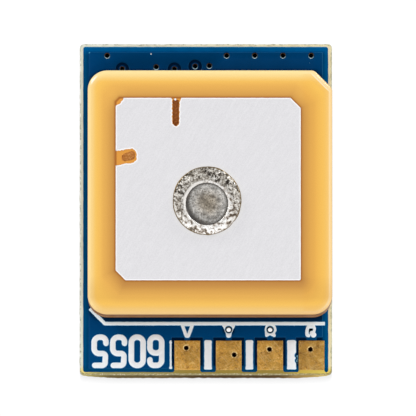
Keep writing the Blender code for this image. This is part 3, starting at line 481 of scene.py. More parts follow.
layers = place_in(laminate_finish, (0.9, 0.9, 6.0))
layer_shade = ramp(laminate_finish, grain(laminate_finish, 0.7 * MM, 4.0, layers), [(0.32, 0.75), (0.66, 1.25)])
# The web along the lower edge is brown with painted shade on it, darkest in the middle, because that side faces away
# from the light
shaded_web_colour = ramp(laminate_finish, along, [
    (0.0, srgb(206, 188, 100)), (0.06, srgb(150, 136, 80)), (0.12, srgb(108, 92, 52)), (0.34, srgb(96, 78, 42)),
    (0.48, srgb(76, 54, 20)), (0.79, srgb(82, 60, 28)), (0.86, srgb(150, 122, 70)), (0.93, srgb(188, 158, 84)),
    (1.0, srgb(232, 208, 120))])
at_web = node(laminate_finish, "MapRange", {0: laminate_place.outputs["Y"], 1: board_low.y + 0.08 * MM,
                                            2: board_low.y - 0.02 * MM}).outputs[0]
wall_colour = mix(laminate_finish, at_web, srgb(180, 178, 156), shaded_web_colour)
wall_colour = mix(laminate_finish, 1.0, wall_colour, layer_shade, "MULTIPLY")
on_wall = node(laminate_finish, "MapRange", {0: laminate_place.outputs["Z"], 1: LAMINATE_TOP - 0.03 * MM,
                                             2: LAMINATE_TOP - 0.09 * MM}).outputs[0]
drive(laminate_finish, "Base Color", mix(laminate_finish, on_wall, top_colour, wall_colour))
bump(laminate_finish, torn, 0.03 * MM, 0.6)

laminate_outline = spaced(rounded_rectangle(board_low.x, board_low.y, board_high.x, board_high.y, LAMINATE_CORNER),
                          EDGE_SPACING)
# Each level gives its height and how far it lies outside the board's left, right, top and lower side
EDGE_LEVELS = (
    (LAMINATE_BOTTOM, -0.06, -0.06, -0.06, -0.04),
    (LAMINATE_BOTTOM + 0.10 * MM, 0.0, 0.0, 0.0, 0.02),
    (LAMINATE_BOTTOM + 0.35 * MM, -0.01, 0.0, 0.02, 0.15),
    (LAMINATE_TOP - 0.40 * MM, -0.01, 0.0, 0.02, 0.165),
    (LAMINATE_TOP - 0.20 * MM, -0.01, 0.0, 0.01, 0.13),
    (LAMINATE_TOP - 0.08 * MM, -0.015, -0.005, 0.01, 0.02),
    (LAMINATE_TOP - 0.025 * MM, -0.05, -0.05, -0.04, -0.06),
    (LAMINATE_TOP, -0.09, -0.09, -0.07, -0.12),
)
board_size = board_high - board_low
edge_stack = []
for number, (height, left, right, above, beneath) in enumerate(EDGE_LEVELS):
    moved = []
    for x, y in laminate_outline:
        across = (x - board_low.x) / board_size.x
        up = (y - board_low.y) / board_size.y
        from_side = min(x - board_low.x, board_high.x - x) / MM
        web = (min(1.8, max(0.0, from_side - 0.28)) / 1.8) ** 0.55 if beneath > 0 else 1.0
        moved.append((x - (1 - across) * left * MM + across * right * MM,
                      y - (1 - up) * web * beneath * MM + up * above * MM))
    edge_stack.append(ring(ragged(moved, EDGE_WANDER, 0.25 * MM, number * 0.6), height))
hole_stacks = [
    [ring(circle(centre, VIA_HOLE)[::-1], height) for height in (LAMINATE_BOTTOM, LAMINATE_TOP)]
    for centre in all_vias
]
hole_stacks.append([ring(circle(feed, FEED_HOLE, 40)[::-1], height) for height in (LAMINATE_BOTTOM, LAMINATE_TOP)])
laminate = fitted("laminate", walled("laminate", [edge_stack, *hole_stacks]), laminate_finish,
                  ["circuit_board"])


# Front solder mask
# Blue epoxy film over the copper of the front. It stands a little higher over the ground copper,
# which stops short of the board's edge and leaves a moat round each pad and three of the holes.
MASK_FROM_LEFT = 0.21 * MM
MASK_FROM_RIGHT = 0.225 * MM
MASK_FROM_TOP = 0.15 * MM
MASK_FROM_BOTTOM = 0.18 * MM
MASK_CORNER = 0.14 * MM
TAB_CORNER = 0.13 * MM
PAD_OPENING = 0.005 * MM
POUR_FROM_LEFT = 0.545 * MM
POUR_FROM_RIGHT = 0.55 * MM
POUR_FROM_TOP = 0.47 * MM
POUR_FROM_BOTTOM = 0.39 * MM
PAD_MOAT = 0.165 * MM
PAD_MOAT_ABOVE = 0.20 * MM
NECK_WIDTHS = (0.36 * MM, 0.36 * MM, 0.36 * MM, 0.62 * MM)
POUR_SLOPE = 0.05 * MM
VIA_DIMPLE = 0.174 * MM
LABEL_DIMPLE = 0.200 * MM
VIA_MOAT = 0.415 * MM
VIA_LAND = 0.235 * MM
MOATED_VIAS = (0, 2, 3)

film_top = LAMINATE_TOP + FILM


def notched(left, bottom, right, top, corner, notch_edges, foot_corner):
    """Outline of a sheet with notches up from its lower edge, each a list of (x, y) from left to right."""
    corners = [(left, bottom, corner)]
    for edge in notch_edges:
        corners.append((edge[0][0], bottom, foot_corner))
        corners += [(x, y, 0.015 * MM) for x, y in edge]
        corners.append((edge[-1][0], bottom, foot_corner))
    corners += [(right, bottom, foot_corner), (right, top, corner), (left, top, corner)]
    return filleted(corners)


def gentle(depth, slope, foot):
    """Levels of a soft step that rises by depth over the width of the slope."""
    steps = 6
    levels = [(0.0, foot - 0.004 * MM)]
    for number in range(steps + 1):
        share = number / steps
        levels.append((slope * share, foot + depth * (1 - math.cos(math.pi * share)) / 2))
    return levels


pad_notches = [
    [(low.x - PAD_OPENING, high.y + PAD_OPENING), (high.x + PAD_OPENING, high.y + PAD_OPENING)]
    for low, high in pad_boxes
]
film_outline = notched(
    board_low.x + MASK_FROM_LEFT, board_low.y + MASK_FROM_BOTTOM,
    board_high.x - MASK_FROM_RIGHT, board_high.y - MASK_FROM_TOP, MASK_CORNER, pad_notches, TAB_CORNER)
film_outline = ragged(spaced(film_outline, 0.12 * MM), 0.012 * MM, 0.35 * MM, 3.0)
label_dimples = [circle(centre, LABEL_DIMPLE) for centre in label_vias]
dimples = [circle(centre, VIA_DIMPLE) for centre in ground_vias + signal_vias] + label_dimples
feed_opening = circle(feed, FEED_HOLE + 0.3 * MM, 40)
film_finish = finish("mask_over_laminate", srgb(1, 50, 92), 0.16, Specular_IOR_Level=0.06)
film_edge = edge_distance(film_finish, board_low, board_high, LAMINATE_CORNER)
# Painted light: over bare laminate the film is lighter in a band along the board's edge, where light comes in through
# the laminate's edge, and further in it keeps its own dark blue
film_colour_and_edge_light = ramp(film_finish, calculate(film_finish, "MULTIPLY", film_edge, 1.0), [
    (0.15, srgb(60, 140, 176)), (0.19, srgb(20, 106, 150)), (0.24, srgb(1, 86, 142)), (0.36, srgb(0, 92, 146)), (0.41, srgb(0, 82, 136)),
    (0.52, srgb(0, 76, 128)), (0.62, srgb(0, 32, 66))])
film_clouds = ramp(film_finish, grain(film_finish, 0.6 * MM, 3.0), [(0.3, 0.86), (0.7, 1.0)])
film_place = node(film_finish, "SeparateXYZ", {0: place_in(film_finish)})
# Painted light and shade: the film is lighter near the top edge, and darker towards the left and near the lower edge
film_right = node(film_finish, "MapRange", {0: film_place.outputs["X"], 1: board_low.x + 1.0 * MM, 2: board_high.x - 1.0 * MM,
                                            3: 0.76, 4: 0.96}).outputs[0]
film_up = node(film_finish, "MapRange", {0: film_place.outputs["Y"], 1: board_high.y - 0.7 * MM,
                                         2: board_high.y - 0.4 * MM}).outputs[0]
film_down = node(film_finish, "MapRange", {0: film_place.outputs["Y"], 1: board_low.y + 0.7 * MM,
                                           2: board_low.y + 0.3 * MM}).outputs[0]
film_light_and_shade = mix(film_finish, film_up, film_right, (1.12, 1.12, 1.20, 1.0))
film_light_and_shade = mix(film_finish, film_down, film_light_and_shade, (0.55, 0.62, 0.62, 1.0))
film_colour_and_edge_light = mix(film_finish, 1.0, film_colour_and_edge_light, film_light_and_shade, "MULTIPLY")
drive(film_finish, "Base Color", mix(film_finish, 1.0, film_colour_and_edge_light, film_clouds, "MULTIPLY"))
bump(film_finish, grain(film_finish, 0.5 * MM, 2.0), 0.004 * MM, 0.5)
film_levels = [(0.0, LAMINATE_TOP - 0.002 * MM), (0.0, LAMINATE_TOP + 0.4 * FILM), (0.012 * MM, film_top - 0.1 * FILM),
               (0.03 * MM, film_top)]
fitted("front_mask", raised("front_mask", film_outline, film_levels, [*dimples, feed_opening]), film_finish)

def polar_distance(material, centre):
    """How far a point lies from an upright axis, in millimetres, and at which share of a turn from -X."""
    split = node(material, "SeparateXYZ", {0: place_in(material, middle=centre)})
    x, y = split.outputs["X"], split.outputs["Y"]
    squares = calculate(material, "ADD", calculate(material, "MULTIPLY", x, x), calculate(material, "MULTIPLY", y, y))
    radius = calculate(material, "MULTIPLY", calculate(material, "SQRT", squares), 1 / MM)
    angle = calculate(material, "ARCTAN2", y, x)
    return radius, calculate(material, "ADD", calculate(material, "DIVIDE", angle, 2 * math.pi), 0.5)


pour_finish = finish("mask_over_copper", srgb(1, 53, 97), 0.16, Specular_IOR_Level=0.06)
pour_clouds = ramp(pour_finish, grain(pour_finish, 1.6 * MM, 4.0), [(0.3, srgb(0, 57, 104)), (0.7, srgb(1, 63, 115))])
BLOCK_CUT = 1.1 * MM
block_low, block_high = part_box("ceramic_block")
from_block = edge_distance(pour_finish, block_low, block_high, 1.2 * MM)
beyond_cut = node(pour_finish, "SeparateXYZ", {
    0: place_in(pour_finish, (1 / MM,) * 3, math.radians(45), (block_high.x, block_high.y, 0))}).outputs["X"]
from_block = calculate(pour_finish, "MINIMUM", from_block,
                       calculate(pour_finish, "SUBTRACT", -BLOCK_CUT / MM * math.sqrt(0.5), beyond_cut))
# Painted light and shadow: the pour is lighter away from the antenna block and painted dark in the block's shadow right
# next to it
lit_away_from_block = node(pour_finish, "MapRange", {0: from_block, 1: -0.3, 2: -1.3}).outputs[0]
pour_colour = mix(pour_finish, calculate(pour_finish, "MULTIPLY", lit_away_from_block, 0.45), pour_clouds, srgb(0, 76, 130))
block_shadow = ramp(pour_finish, calculate(pour_finish, "ADD", from_block, 0.5), [(0.10, 0.0), (0.30, 0.75), (0.5, 0.85)])
pour_colour = mix(pour_finish, block_shadow, pour_colour, srgb(0, 22, 44))
pour_height = node(pour_finish, "SeparateXYZ", {0: place_in(pour_finish)}).outputs["Z"]
step_share = node(pour_finish, "MapRange", {0: pour_height, 1: film_top + 0.004 * MM, 2: board_high.z - 0.003 * MM}).outputs[0]
step_glint = ramp(pour_finish, step_share, [(0.0, 0.0), (0.3, 0.7), (0.7, 0.7), (1.0, 0.0)])
pour_right_share = node(pour_finish, "SeparateXYZ", {0: place_in(pour_finish)}).outputs["X"]
pour_right_share = node(pour_finish, "MapRange", {0: pour_right_share, 1: 6.6 * MM, 2: 7.1 * MM}).outputs[0]
pour_colour = mix(pour_finish, step_glint, pour_colour,
                  mix(pour_finish, pour_right_share, srgb(8, 82, 126), srgb(30, 112, 150)))
dust = node(pour_finish, "TexVoronoi", {"Vector": place_in(pour_finish), "Scale": 1 / (1.1 * MM), "Randomness": 1.0})
dust_size = node(pour_finish, "SeparateXYZ", {0: dust.outputs["Color"]}).outputs["X"]
dust_size = node(pour_finish, "MapRange", {0: dust_size, 1: 0.55, 2: 1.0, 3: 0.0, 4: 0.045}).outputs[0]
dust_here = calculate(pour_finish, "LESS_THAN", dust.outputs["Distance"], dust_size)
pour_colour = mix(pour_finish, calculate(pour_finish, "MULTIPLY", dust_here, 0.7), pour_colour, srgb(110, 168, 190))
glint_from, glint_turn = polar_distance(pour_finish, (board_low.x + POUR_FROM_LEFT, board_high.y - POUR_FROM_TOP, 0))
pour_colour = mix(pour_finish, ramp(pour_finish, glint_from, [(0.05, 0.8), (0.12, 0.0)]), pour_colour, srgb(70, 164, 196))
# Dark patches on two sides of the second pointer's ring
pointer_dark_from, pointer_dark_turn = polar_distance(pour_finish, (*label_vias[0], 0))
pointer_dark_here = ramp(pour_finish, pointer_dark_from, [(0.20, 0.0), (0.24, 0.8), (0.36, 0.6), (0.44, 0.0)])
pointer_dark_sides = ramp(pour_finish, pointer_dark_turn, [(0.0, 1.0), (0.12, 1.0), (0.20, 0.0), (0.30, 0.0), (0.38, 1.0), (0.54, 1.0), (0.60, 0.0),
                                           (0.90, 0.0), (0.96, 1.0)])
pointer_dark_here = mix(pour_finish, 1.0, pointer_dark_here, pointer_dark_sides, "MULTIPLY")
pour_colour = mix(pour_finish, pointer_dark_here, pour_colour, srgb(0, 22, 44))
speck_from, speck_turn = polar_distance(pour_finish, (-3.36 * MM, 9.56 * MM, 0))
pour_colour = mix(pour_finish, calculate(pour_finish, "LESS_THAN", speck_from, 0.045), pour_colour, srgb(206, 224, 230))
drive(pour_finish, "Base Color", pour_colour)
bump(pour_finish, grain(pour_finish, 0.35 * MM, 3.0), 0.003 * MM, 0.5)
pour_bottom = board_low.y + POUR_FROM_BOTTOM
pour_notches = []
for (low, high), neck in zip(pad_boxes, NECK_WIDTHS):
    middle = (low.x + high.x) / 2
    moat_top = high.y + PAD_MOAT_ABOVE
    pour_notches.append([
        (low.x - PAD_MOAT, moat_top), (middle - neck / 2, moat_top), (middle - neck / 2, high.y + 0.02 * MM),
        (middle + neck / 2, high.y + 0.02 * MM), (middle + neck / 2, moat_top), (high.x + PAD_MOAT, moat_top),
    ])
pour_right = board_high.x - POUR_FROM_RIGHT
last_notch = pour_notches.pop()
pour_corners = [(board_low.x + POUR_FROM_LEFT, pour_bottom, 0.05 * MM)]
for edge in pour_notches:
    pour_corners.append((edge[0][0], pour_bottom, 0.06 * MM))
    pour_corners += [(x, y, 0.04 * MM) for x, y in edge]
    pour_corners.append((edge[-1][0], pour_bottom, 0.06 * MM))
pour_corners.append((last_notch[0][0], pour_bottom, 0.06 * MM))
pour_corners += [(x, y, 0.04 * MM) for x, y in last_notch[:-1]]
pour_corners += [(pour_right, last_notch[-1][1], 0.05 * MM),
                 (pour_right, board_high.y - POUR_FROM_TOP, 0.05 * MM),
                 (board_low.x + POUR_FROM_LEFT, board_high.y - POUR_FROM_TOP, 0.05 * MM)]
moated = [signal_vias[number] for number in MOATED_VIAS]
moats = [circle(centre, VIA_MOAT, 36) for centre in moated]
pour_dimples = [circle(centre, VIA_DIMPLE) for centre in ground_vias + signal_vias if centre not in moated] + label_dimples
pour_levels = gentle(COPPER, POUR_SLOPE, film_top)
fitted("front_copper_pour", raised("front_copper_pour", filleted(pour_corners, 30), pour_levels,
                                   [*moats, *pour_dimples, feed_opening]), pour_finish)
for number, centre in enumerate(moated, start=1):
    land = raised(f"via_land_{number}", circle(centre, VIA_LAND, 36), gentle(COPPER, 0.05 * MM, film_top),
                  [circle(centre, VIA_DIMPLE)])
    fitted(f"via_land_{number}", land, pour_finish)


# Plated holes
# Copper barrels through the laminate. The mask runs down into each mouth as a shiny funnel, and
# the back's mask closes most of them, so only the two middle label holes let light through.
FUNNEL_DEPTH = 0.046 * MM
MOUTH = 0.140 * MM


def new_tree(name, sizes):
    """An empty Geometry Nodes tree that takes a shape and named values, and gives a shape."""
    tree = bpy.data.node_groups.new(name, "GeometryNodeTree")
    tree.interface.new_socket("Geometry", in_out="INPUT", socket_type="NodeSocketGeometry")
    for label, kind in sizes.items():
        tree.interface.new_socket(label, in_out="INPUT", socket_type=f"NodeSocket{kind}")
    tree.interface.new_socket("Geometry", in_out="OUTPUT", socket_type="NodeSocketGeometry")
    return tree, tree.nodes.new("NodeGroupInput"), tree.nodes.new("NodeGroupOutput")


def step_node(tree, kind, links, **settings):
    """Add a node to a tree, linked to the sockets or set to the values given for its inputs."""
    made = tree.nodes.new(f"GeometryNode{kind}")
    for name, value in settings.items():
        setattr(made, name, value)
    for name, value in links.items():
        for source in value if isinstance(value, list) else [value]:
            if isinstance(source, bpy.types.NodeSocket):
                tree.links.new(source, made.inputs[name])
            else:
                made.inputs[name].default_value = source
    return made


def grow(name, points, tree, values):
    """Run a tree on a set of points, and return the plain mesh that it makes."""
    seeds = bpy.data.meshes.new(name)
    seeds.from_pydata([(*point, 0.0) if len(point) == 2 else tuple(point) for point in points], [], [])
    carrier = bpy.data.objects.new(name, seeds)
    bpy.context.scene.collection.objects.link(carrier)
    growth = carrier.modifiers.new("growth", "NODES")
    growth.node_group = tree
    for socket in tree.interface.items_tree:
        if socket.in_out == "INPUT" and socket.name in values:
            growth[socket.identifier] = values[socket.name]
    mesh = bpy.data.meshes.new_from_object(carrier.evaluated_get(bpy.context.evaluated_depsgraph_get()))
    carrier.modifiers.remove(growth)
    bpy.data.objects.remove(carrier)
    mesh.name = name
    return mesh


funnel_tree, given, result = new_tree("hole_liner", {
    "Top Radius": "Float", "Bottom Radius": "Float", "Top": "Float", "Bottom": "Float", "Finish": "Material"})
depth = step_node(funnel_tree, "MeshCone", {"Vertices": 32, "Side Segments": 4}, fill_type="NONE")
funnel_tree.links.new(given.outputs["Top Radius"], depth.inputs["Radius Top"])
funnel_tree.links.new(given.outputs["Bottom Radius"], depth.inputs["Radius Bottom"])
drop = funnel_tree.nodes.new("ShaderNodeMath")
drop.operation = "SUBTRACT"
funnel_tree.links.new(given.outputs["Top"], drop.inputs[0])
funnel_tree.links.new(given.outputs["Bottom"], drop.inputs[1])
funnel_tree.links.new(drop.outputs[0], depth.inputs["Depth"])
lift = funnel_tree.nodes.new("ShaderNodeCombineXYZ")
funnel_tree.links.new(given.outputs["Bottom"], lift.inputs["Z"])
raised_cone = step_node(funnel_tree, "Transform", {"Geometry": depth.outputs["Mesh"], "Translation": lift.outputs[0]})
inward = step_node(funnel_tree, "FlipFaces", {"Mesh": raised_cone.outputs[0]})
where = funnel_tree.nodes.new("GeometryNodeInputPosition")
where_split = funnel_tree.nodes.new("ShaderNodeSeparateXYZ")
funnel_tree.links.new(where.outputs[0], where_split.inputs[0])
uphill = funnel_tree.nodes.new("ShaderNodeMath")
uphill.operation = "DIVIDE"
funnel_tree.links.new(where_split.outputs["Y"], uphill.inputs[0])
funnel_tree.links.new(given.outputs["Top Radius"], uphill.inputs[1])
inward = step_node(funnel_tree, "StoreNamedAttribute", {"Geometry": inward.outputs[0], "Name": "uphill",
                                                        "Value": uphill.outputs[0]}, data_type="FLOAT", domain="POINT")
copies = step_node(funnel_tree, "InstanceOnPoints", {"Points": given.outputs["Geometry"], "Instance": inward.outputs[0]})
real = step_node(funnel_tree, "RealizeInstances", {"Geometry": copies.outputs[0]})
painted = step_node(funnel_tree, "SetMaterial", {"Geometry": real.outputs[0], "Material": given.outputs["Finish"]})
funnel_tree.links.new(painted.outputs[0], result.inputs["Geometry"])

funnel_finish = finish("mask_in_hole", srgb(8, 70, 108), 0.16, Specular_IOR_Level=0.8)
barrel_finish = finish("barrel_copper", srgb(62, 36, 22), 0.5, 0.6)
drive(barrel_finish, "Base Color", ramp(barrel_finish, grain(barrel_finish, 0.08 * MM), [
    (0.35, srgb(20, 8, 4)), (0.65, srgb(84, 52, 32))]))
# Painted highlight: each funnel is pale on its lower side, which faces the lamps, and darker and brown on its upper
# side, which faces away from them
funnel_highlight_share = node(funnel_finish, "Attribute", attribute_name="uphill").outputs["Fac"]
funnel_highlight_share = calculate(funnel_finish, "MULTIPLY_ADD", funnel_highlight_share, 0.5, 0.5)
drive(funnel_finish, "Base Color", ramp(funnel_finish, funnel_highlight_share, [
    (0.0, srgb(206, 228, 234)), (0.25, srgb(140, 180, 196)), (0.50, srgb(60, 90, 108)), (0.80, srgb(112, 84, 56)),
    (1.0, srgb(84, 68, 52))]))
# Painted shade: the mask down in the label holes' funnels is painted nearly black
shaded_funnel_finish = finish("shaded_mask_in_label_hole", srgb(2, 14, 24), 0.3, Specular_IOR_Level=0.08)
drive(shaded_funnel_finish, "Base Color", ramp(shaded_funnel_finish, grain(shaded_funnel_finish, 0.08 * MM), [
    (0.35, srgb(1, 8, 14)), (0.65, srgb(4, 26, 40))]))
label_funnels = grow("label_funnels", label_vias, funnel_tree, {
    "Top Radius": LABEL_DIMPLE + 0.002 * MM, "Bottom Radius": MOUTH, "Top": board_high.z - 0.002 * MM,
    "Bottom": board_high.z - FUNNEL_DEPTH, "Finish": shaded_funnel_finish})
fitted("label_funnels", label_funnels, shaded_funnel_finish, smooth=60)
funnels = grow("hole_funnels", ground_vias + signal_vias, funnel_tree, {
    "Top Radius": VIA_DIMPLE + 0.002 * MM, "Bottom Radius": MOUTH, "Top": board_high.z - 0.002 * MM,
    "Bottom": board_high.z - FUNNEL_DEPTH, "Finish": funnel_finish})
fitted("hole_funnels", funnels, funnel_finish, smooth=60)
barrels = grow("hole_barrels", all_vias, funnel_tree, {
    "Top Radius": MOUTH, "Bottom Radius": MOUTH, "Top": board_high.z - FUNNEL_DEPTH, "Bottom": board_low.z + 0.05 * MM,
    "Finish": barrel_finish})
fitted("hole_barrels", barrels, barrel_finish, smooth=60)


# Wire pads
# Copper pads plated with gold, a little tarnished and scratched, where the wires are soldered.
# Each has its own plated hole, and a scrape of torn mask lies beside the last one.
PAD_ROUNDING = 0.022 * MM
PAD_RAGGED = 0.014 * MM

pad_top = pad_boxes[0][1].z
gold_finish = finish("gold_plating", srgb(184, 139, 68), 0.42, 0.45)
gold_clouds = grain(gold_finish, 0.24 * MM, 5.0, roughness=0.72)
gold_specks = grain(gold_finish, 0.06 * MM, 2.0)
gold_patches = grain(gold_finish, 0.9 * MM, 3.0)
gold_tone = ramp(gold_finish, gold_clouds, [(0.34, srgb(166, 114, 40)), (0.44, srgb(213, 159, 66)), (0.56, srgb(226, 171, 74)),
                                            (0.66, srgb(250, 204, 112))])
gold_tone = mix(gold_finish, ramp(gold_finish, gold_specks, [(0.30, 0.75), (0.37, 0.0)]), gold_tone, srgb(116, 80, 40))
gold_tone = mix(gold_finish, ramp(gold_finish, gold_specks, [(0.64, 0.0), (0.71, 0.8)]), gold_tone, srgb(255, 226, 160))
gold_dark = ramp(gold_finish, gold_patches, [(0.38, 0.82), (0.50, 1.0), (0.62, 1.06)])
gold_tone = mix(gold_finish, 1.0, gold_tone, gold_dark, "MULTIPLY")
for turn, narrow in ((math.radians(38), 0.62), (math.radians(-64), 0.64), (math.radians(8), 0.66)):
    rubbed = grain(gold_finish, 0.05 * MM, 1.0, place_in(gold_finish, (1.0, 0.04, 1.0), turn))
    rubbed = ramp(gold_finish, rubbed, [(narrow, 0.0), (narrow + 0.05, 0.32)])
    gold_tone = mix(gold_finish, rubbed, gold_tone, srgb(250, 220, 156))
gold_place = node(gold_finish, "SeparateXYZ", {0: place_in(gold_finish)})
last_pad = calculate(gold_finish, "GREATER_THAN", gold_place.outputs["X"], 5.0 * MM)
gold_tone = mix(gold_finish, calculate(gold_finish, "MULTIPLY", last_pad, 0.20), gold_tone, srgb(60, 40, 20))
# Painted highlight: the pads' rounded edges are painted lighter
gold_edge_highlight = node(gold_finish, "MapRange", {0: gold_place.outputs["Z"], 1: pad_top - 0.001 * MM, 2: pad_top - 0.008 * MM,
                                           3: 0.0, 4: 0.55}).outputs[0]
gold_tone = mix(gold_finish, gold_edge_highlight, gold_tone, srgb(240, 206, 134))
drive(gold_finish, "Base Color", gold_tone)
drive(gold_finish, "Roughness", ramp(gold_finish, gold_clouds, [(0.3, 0.52), (0.7, 0.34)]))
bump(gold_finish, gold_clouds, 0.010 * MM, 0.5)
PAD_MOUTH = 0.200 * MM
PAD_BORE = 0.150 * MM
rim_finish = finish("gold_rim", srgb(255, 224, 148), 0.5, 0.0, Specular_IOR_Level=0.4)
drive(rim_finish, "Base Color", ramp(rim_finish, grain(rim_finish, 0.12 * MM), [(0.40, srgb(150, 98, 34)), (0.55, srgb(255, 226, 150))]))
bore_finish = finish("plated_bore", srgb(92, 40, 10), 0.5, 0.2)
drive(bore_finish, "Base Color", ramp(bore_finish, grain(bore_finish, 0.12 * MM), [(0.40, srgb(24, 8, 2)), (0.60, srgb(120, 54, 14))]))
pad_funnels = grow("pad_hole_rims", pad_vias, funnel_tree, {
    "Top Radius": PAD_MOUTH + 0.002 * MM, "Bottom Radius": PAD_BORE, "Top": pad_top - 0.002 * MM,
    "Bottom": pad_top - 0.02 * MM, "Finish": rim_finish})
fitted("pad_hole_rims", pad_funnels, rim_finish, smooth=60)
pad_barrels = grow("pad_hole_barrels", pad_vias, funnel_tree, {
    "Top Radius": PAD_BORE, "Bottom Radius": 0.5 * MOUTH, "Top": pad_top - 0.02 * MM, "Bottom": LAMINATE_TOP - 0.35 * MM,
    "Finish": bore_finish})
fitted("pad_hole_barrels", pad_barrels, bore_finish, smooth=60)
pad_levels = [(0.0, LAMINATE_TOP - 0.002 * MM), (0.0, pad_top - PAD_ROUNDING)]
pad_levels += [(PAD_ROUNDING * (1 - math.cos(a)), pad_top - PAD_ROUNDING * (1 - math.sin(a)))
               for a in (math.radians(angle) for angle in (30, 60, 90))]
for number, ((low, high), via) in enumerate(zip(pad_boxes, pad_vias), start=1):
    outline = rounded_rectangle(low.x, low.y, high.x, high.y, 0.04 * MM)
    outline = spaced(outline, 0.05 * MM)
    outline = ragged(outline, PAD_RAGGED, 0.16 * MM, 7.0 + number)
    pad = raised(f"pad_plating_{number}", outline, pad_levels, [circle(via, PAD_MOUTH)])
    fitted(f"pad_plating_{number}", pad, gold_finish, [f"wire_pad_{number}"], smooth=60)


# Printed legend
# White epoxy ink, screened on the finished mask in one thin coat: the line that underlines the
# antenna, a pointer down to each pad, bars between the pads and plain digits.
INK_BLEED = 0.008 * MM
INK_STEP = 0.012 * MM
INK_EDGE = 0.016 * MM

ink_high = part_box("legend_bar_1")[1]
ink_foot = board_high.z - 0.002 * MM
ink_top = ink_high.z
ink_finish = finish("white_ink", srgb(222, 224, 226), 0.55, Specular_IOR_Level=0.3)
ink_clouds = grain(ink_finish, 0.3 * MM, 4.0)
ink_tone = ramp(ink_finish, ink_clouds, [(0.3, srgb(241, 246, 250)), (0.7, srgb(250, 253, 255))])
ink_from_block = edge_distance(ink_finish, block_low, block_high, 1.2 * MM)
# Painted light: the ink beside the antenna block is painted whiter, against the block's shade
lit_beside_block = node(ink_finish, "MapRange", {0: ink_from_block, 1: -0.75, 2: -0.55}).outputs[0]
ink_tone = mix(ink_finish, lit_beside_block, ink_tone, srgb(246, 253, 255))
ink_height = node(ink_finish, "SeparateXYZ", {0: place_in(ink_finish)}).outputs["Z"]
ink_side = node(ink_finish, "MapRange", {0: ink_height, 1: ink_top - 0.002 * MM, 2: ink_top - 0.007 * MM}).outputs[0]
drive(ink_finish, "Base Color", mix(ink_finish, ink_side, ink_tone, srgb(128, 196, 232)))
bump(ink_finish, ink_clouds, 0.006 * MM, 0.5)
ink_levels = [(-INK_EDGE, ink_foot), (-INK_EDGE, ink_top - INK_STEP), (0.4 * INK_EDGE, ink_top - 0.3 * INK_STEP), (INK_EDGE, ink_top)]

line_low, line_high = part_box("legend_line")
LINE_WIDTH = 0.24 * MM
LINE_DIAGONAL = 0.92 * MM
LINE_BEND = 0.12 * MM
LINE_SHRINK = 0.038 * MM
LINE_RISE = 0.008 * MM
line_y = line_low.y + LINE_WIDTH / 2 + LINE_RISE
half = (LINE_WIDTH - LINE_SHRINK) / 2
bend_x = line_low.x + LINE_DIAGONAL + half * math.sqrt(0.5)
start = Vector((bend_x - LINE_DIAGONAL, line_y + LINE_DIAGONAL))
across = Vector((math.sqrt(0.5), math.sqrt(0.5))) * half
lean = half * math.tan(math.pi / 8)
line_outline = filleted([
    (*(start - across), 0.03 * MM), (bend_x - lean, line_y - half, LINE_BEND), (line_high.x, line_y - half, 0.03 * MM),
    (line_high.x, line_y + half, 0.03 * MM), (bend_x + lean, line_y + half, 0.05 * MM), (*(start + across), 0.03 * MM)])
line_outline = ragged(spaced(line_outline, 0.06 * MM), INK_BLEED, 0.2 * MM, 1.5)
fitted("ink_line", raised("ink_line", line_outline, ink_levels), ink_finish, ["legend_line"])

TICK_END = 0.24 * MM
NICKS = (((5.62 * MM, -8.95 * MM), 0.19 * MM), ((5.61 * MM, -9.27 * MM), 0.17 * MM))
BAR_SHORTER = 0.07 * MM
LAST_BAR_WIDER = 0.09 * MM


def nicked(outline, nicks):
    """The outline with a round bite out of it at each nick, given as (centre, radius)."""
    bitten = []
    for point in outline:
        here = Vector(point)
        for centre, radius in nicks:
            arm = here - Vector(centre)
            if arm.length < radius:
                here = Vector(centre) + arm.normalized() * radius
        bitten.append(tuple(here))
    return bitten


for name, seed in (("legend_bar_1", 2.0), ("legend_bar_2", 5.0), ("legend_bar_3", 9.0), ("legend_tick", 11.0)):
    low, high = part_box(name)
    low.y += BAR_SHORTER
    high.x += LAST_BAR_WIDER if name == "legend_bar_3" else 0.0
    middle = (low.x + high.x) / 2
    waist = (high.x - low.x) / 2 - (0.055 * MM if name == "legend_tick" else 0.025 * MM)
    end = (high.x - low.x) / 2
    foot = 0.20 * MM
    outline = filleted([
        (middle - end, low.y, 0.06 * MM), (middle + end, low.y, 0.06 * MM), (middle + waist, low.y + foot, 0.05 * MM),
        (middle + waist, high.y - foot, 0.05 * MM), (middle + end, high.y, 0.10 * MM),
        (middle - end, high.y, 0.10 * MM), (middle - waist, high.y - foot, 0.05 * MM),
        (middle - waist, low.y + foot, 0.05 * MM)])
    outline = nicked(spaced(outline, 0.05 * MM), NICKS if name == "legend_bar_3" else ())
    outline = ragged(outline, INK_BLEED * 1.5, 0.22 * MM, seed)
    fitted(f"ink_{name[7:]}", raised(f"ink_{name[7:]}", outline, ink_levels), ink_finish, [name])

POINTER_RING = 0.240 * MM
POINTER_FOOT = 0.19 * MM
pointer_top = line_y - half + 0.01 * MM
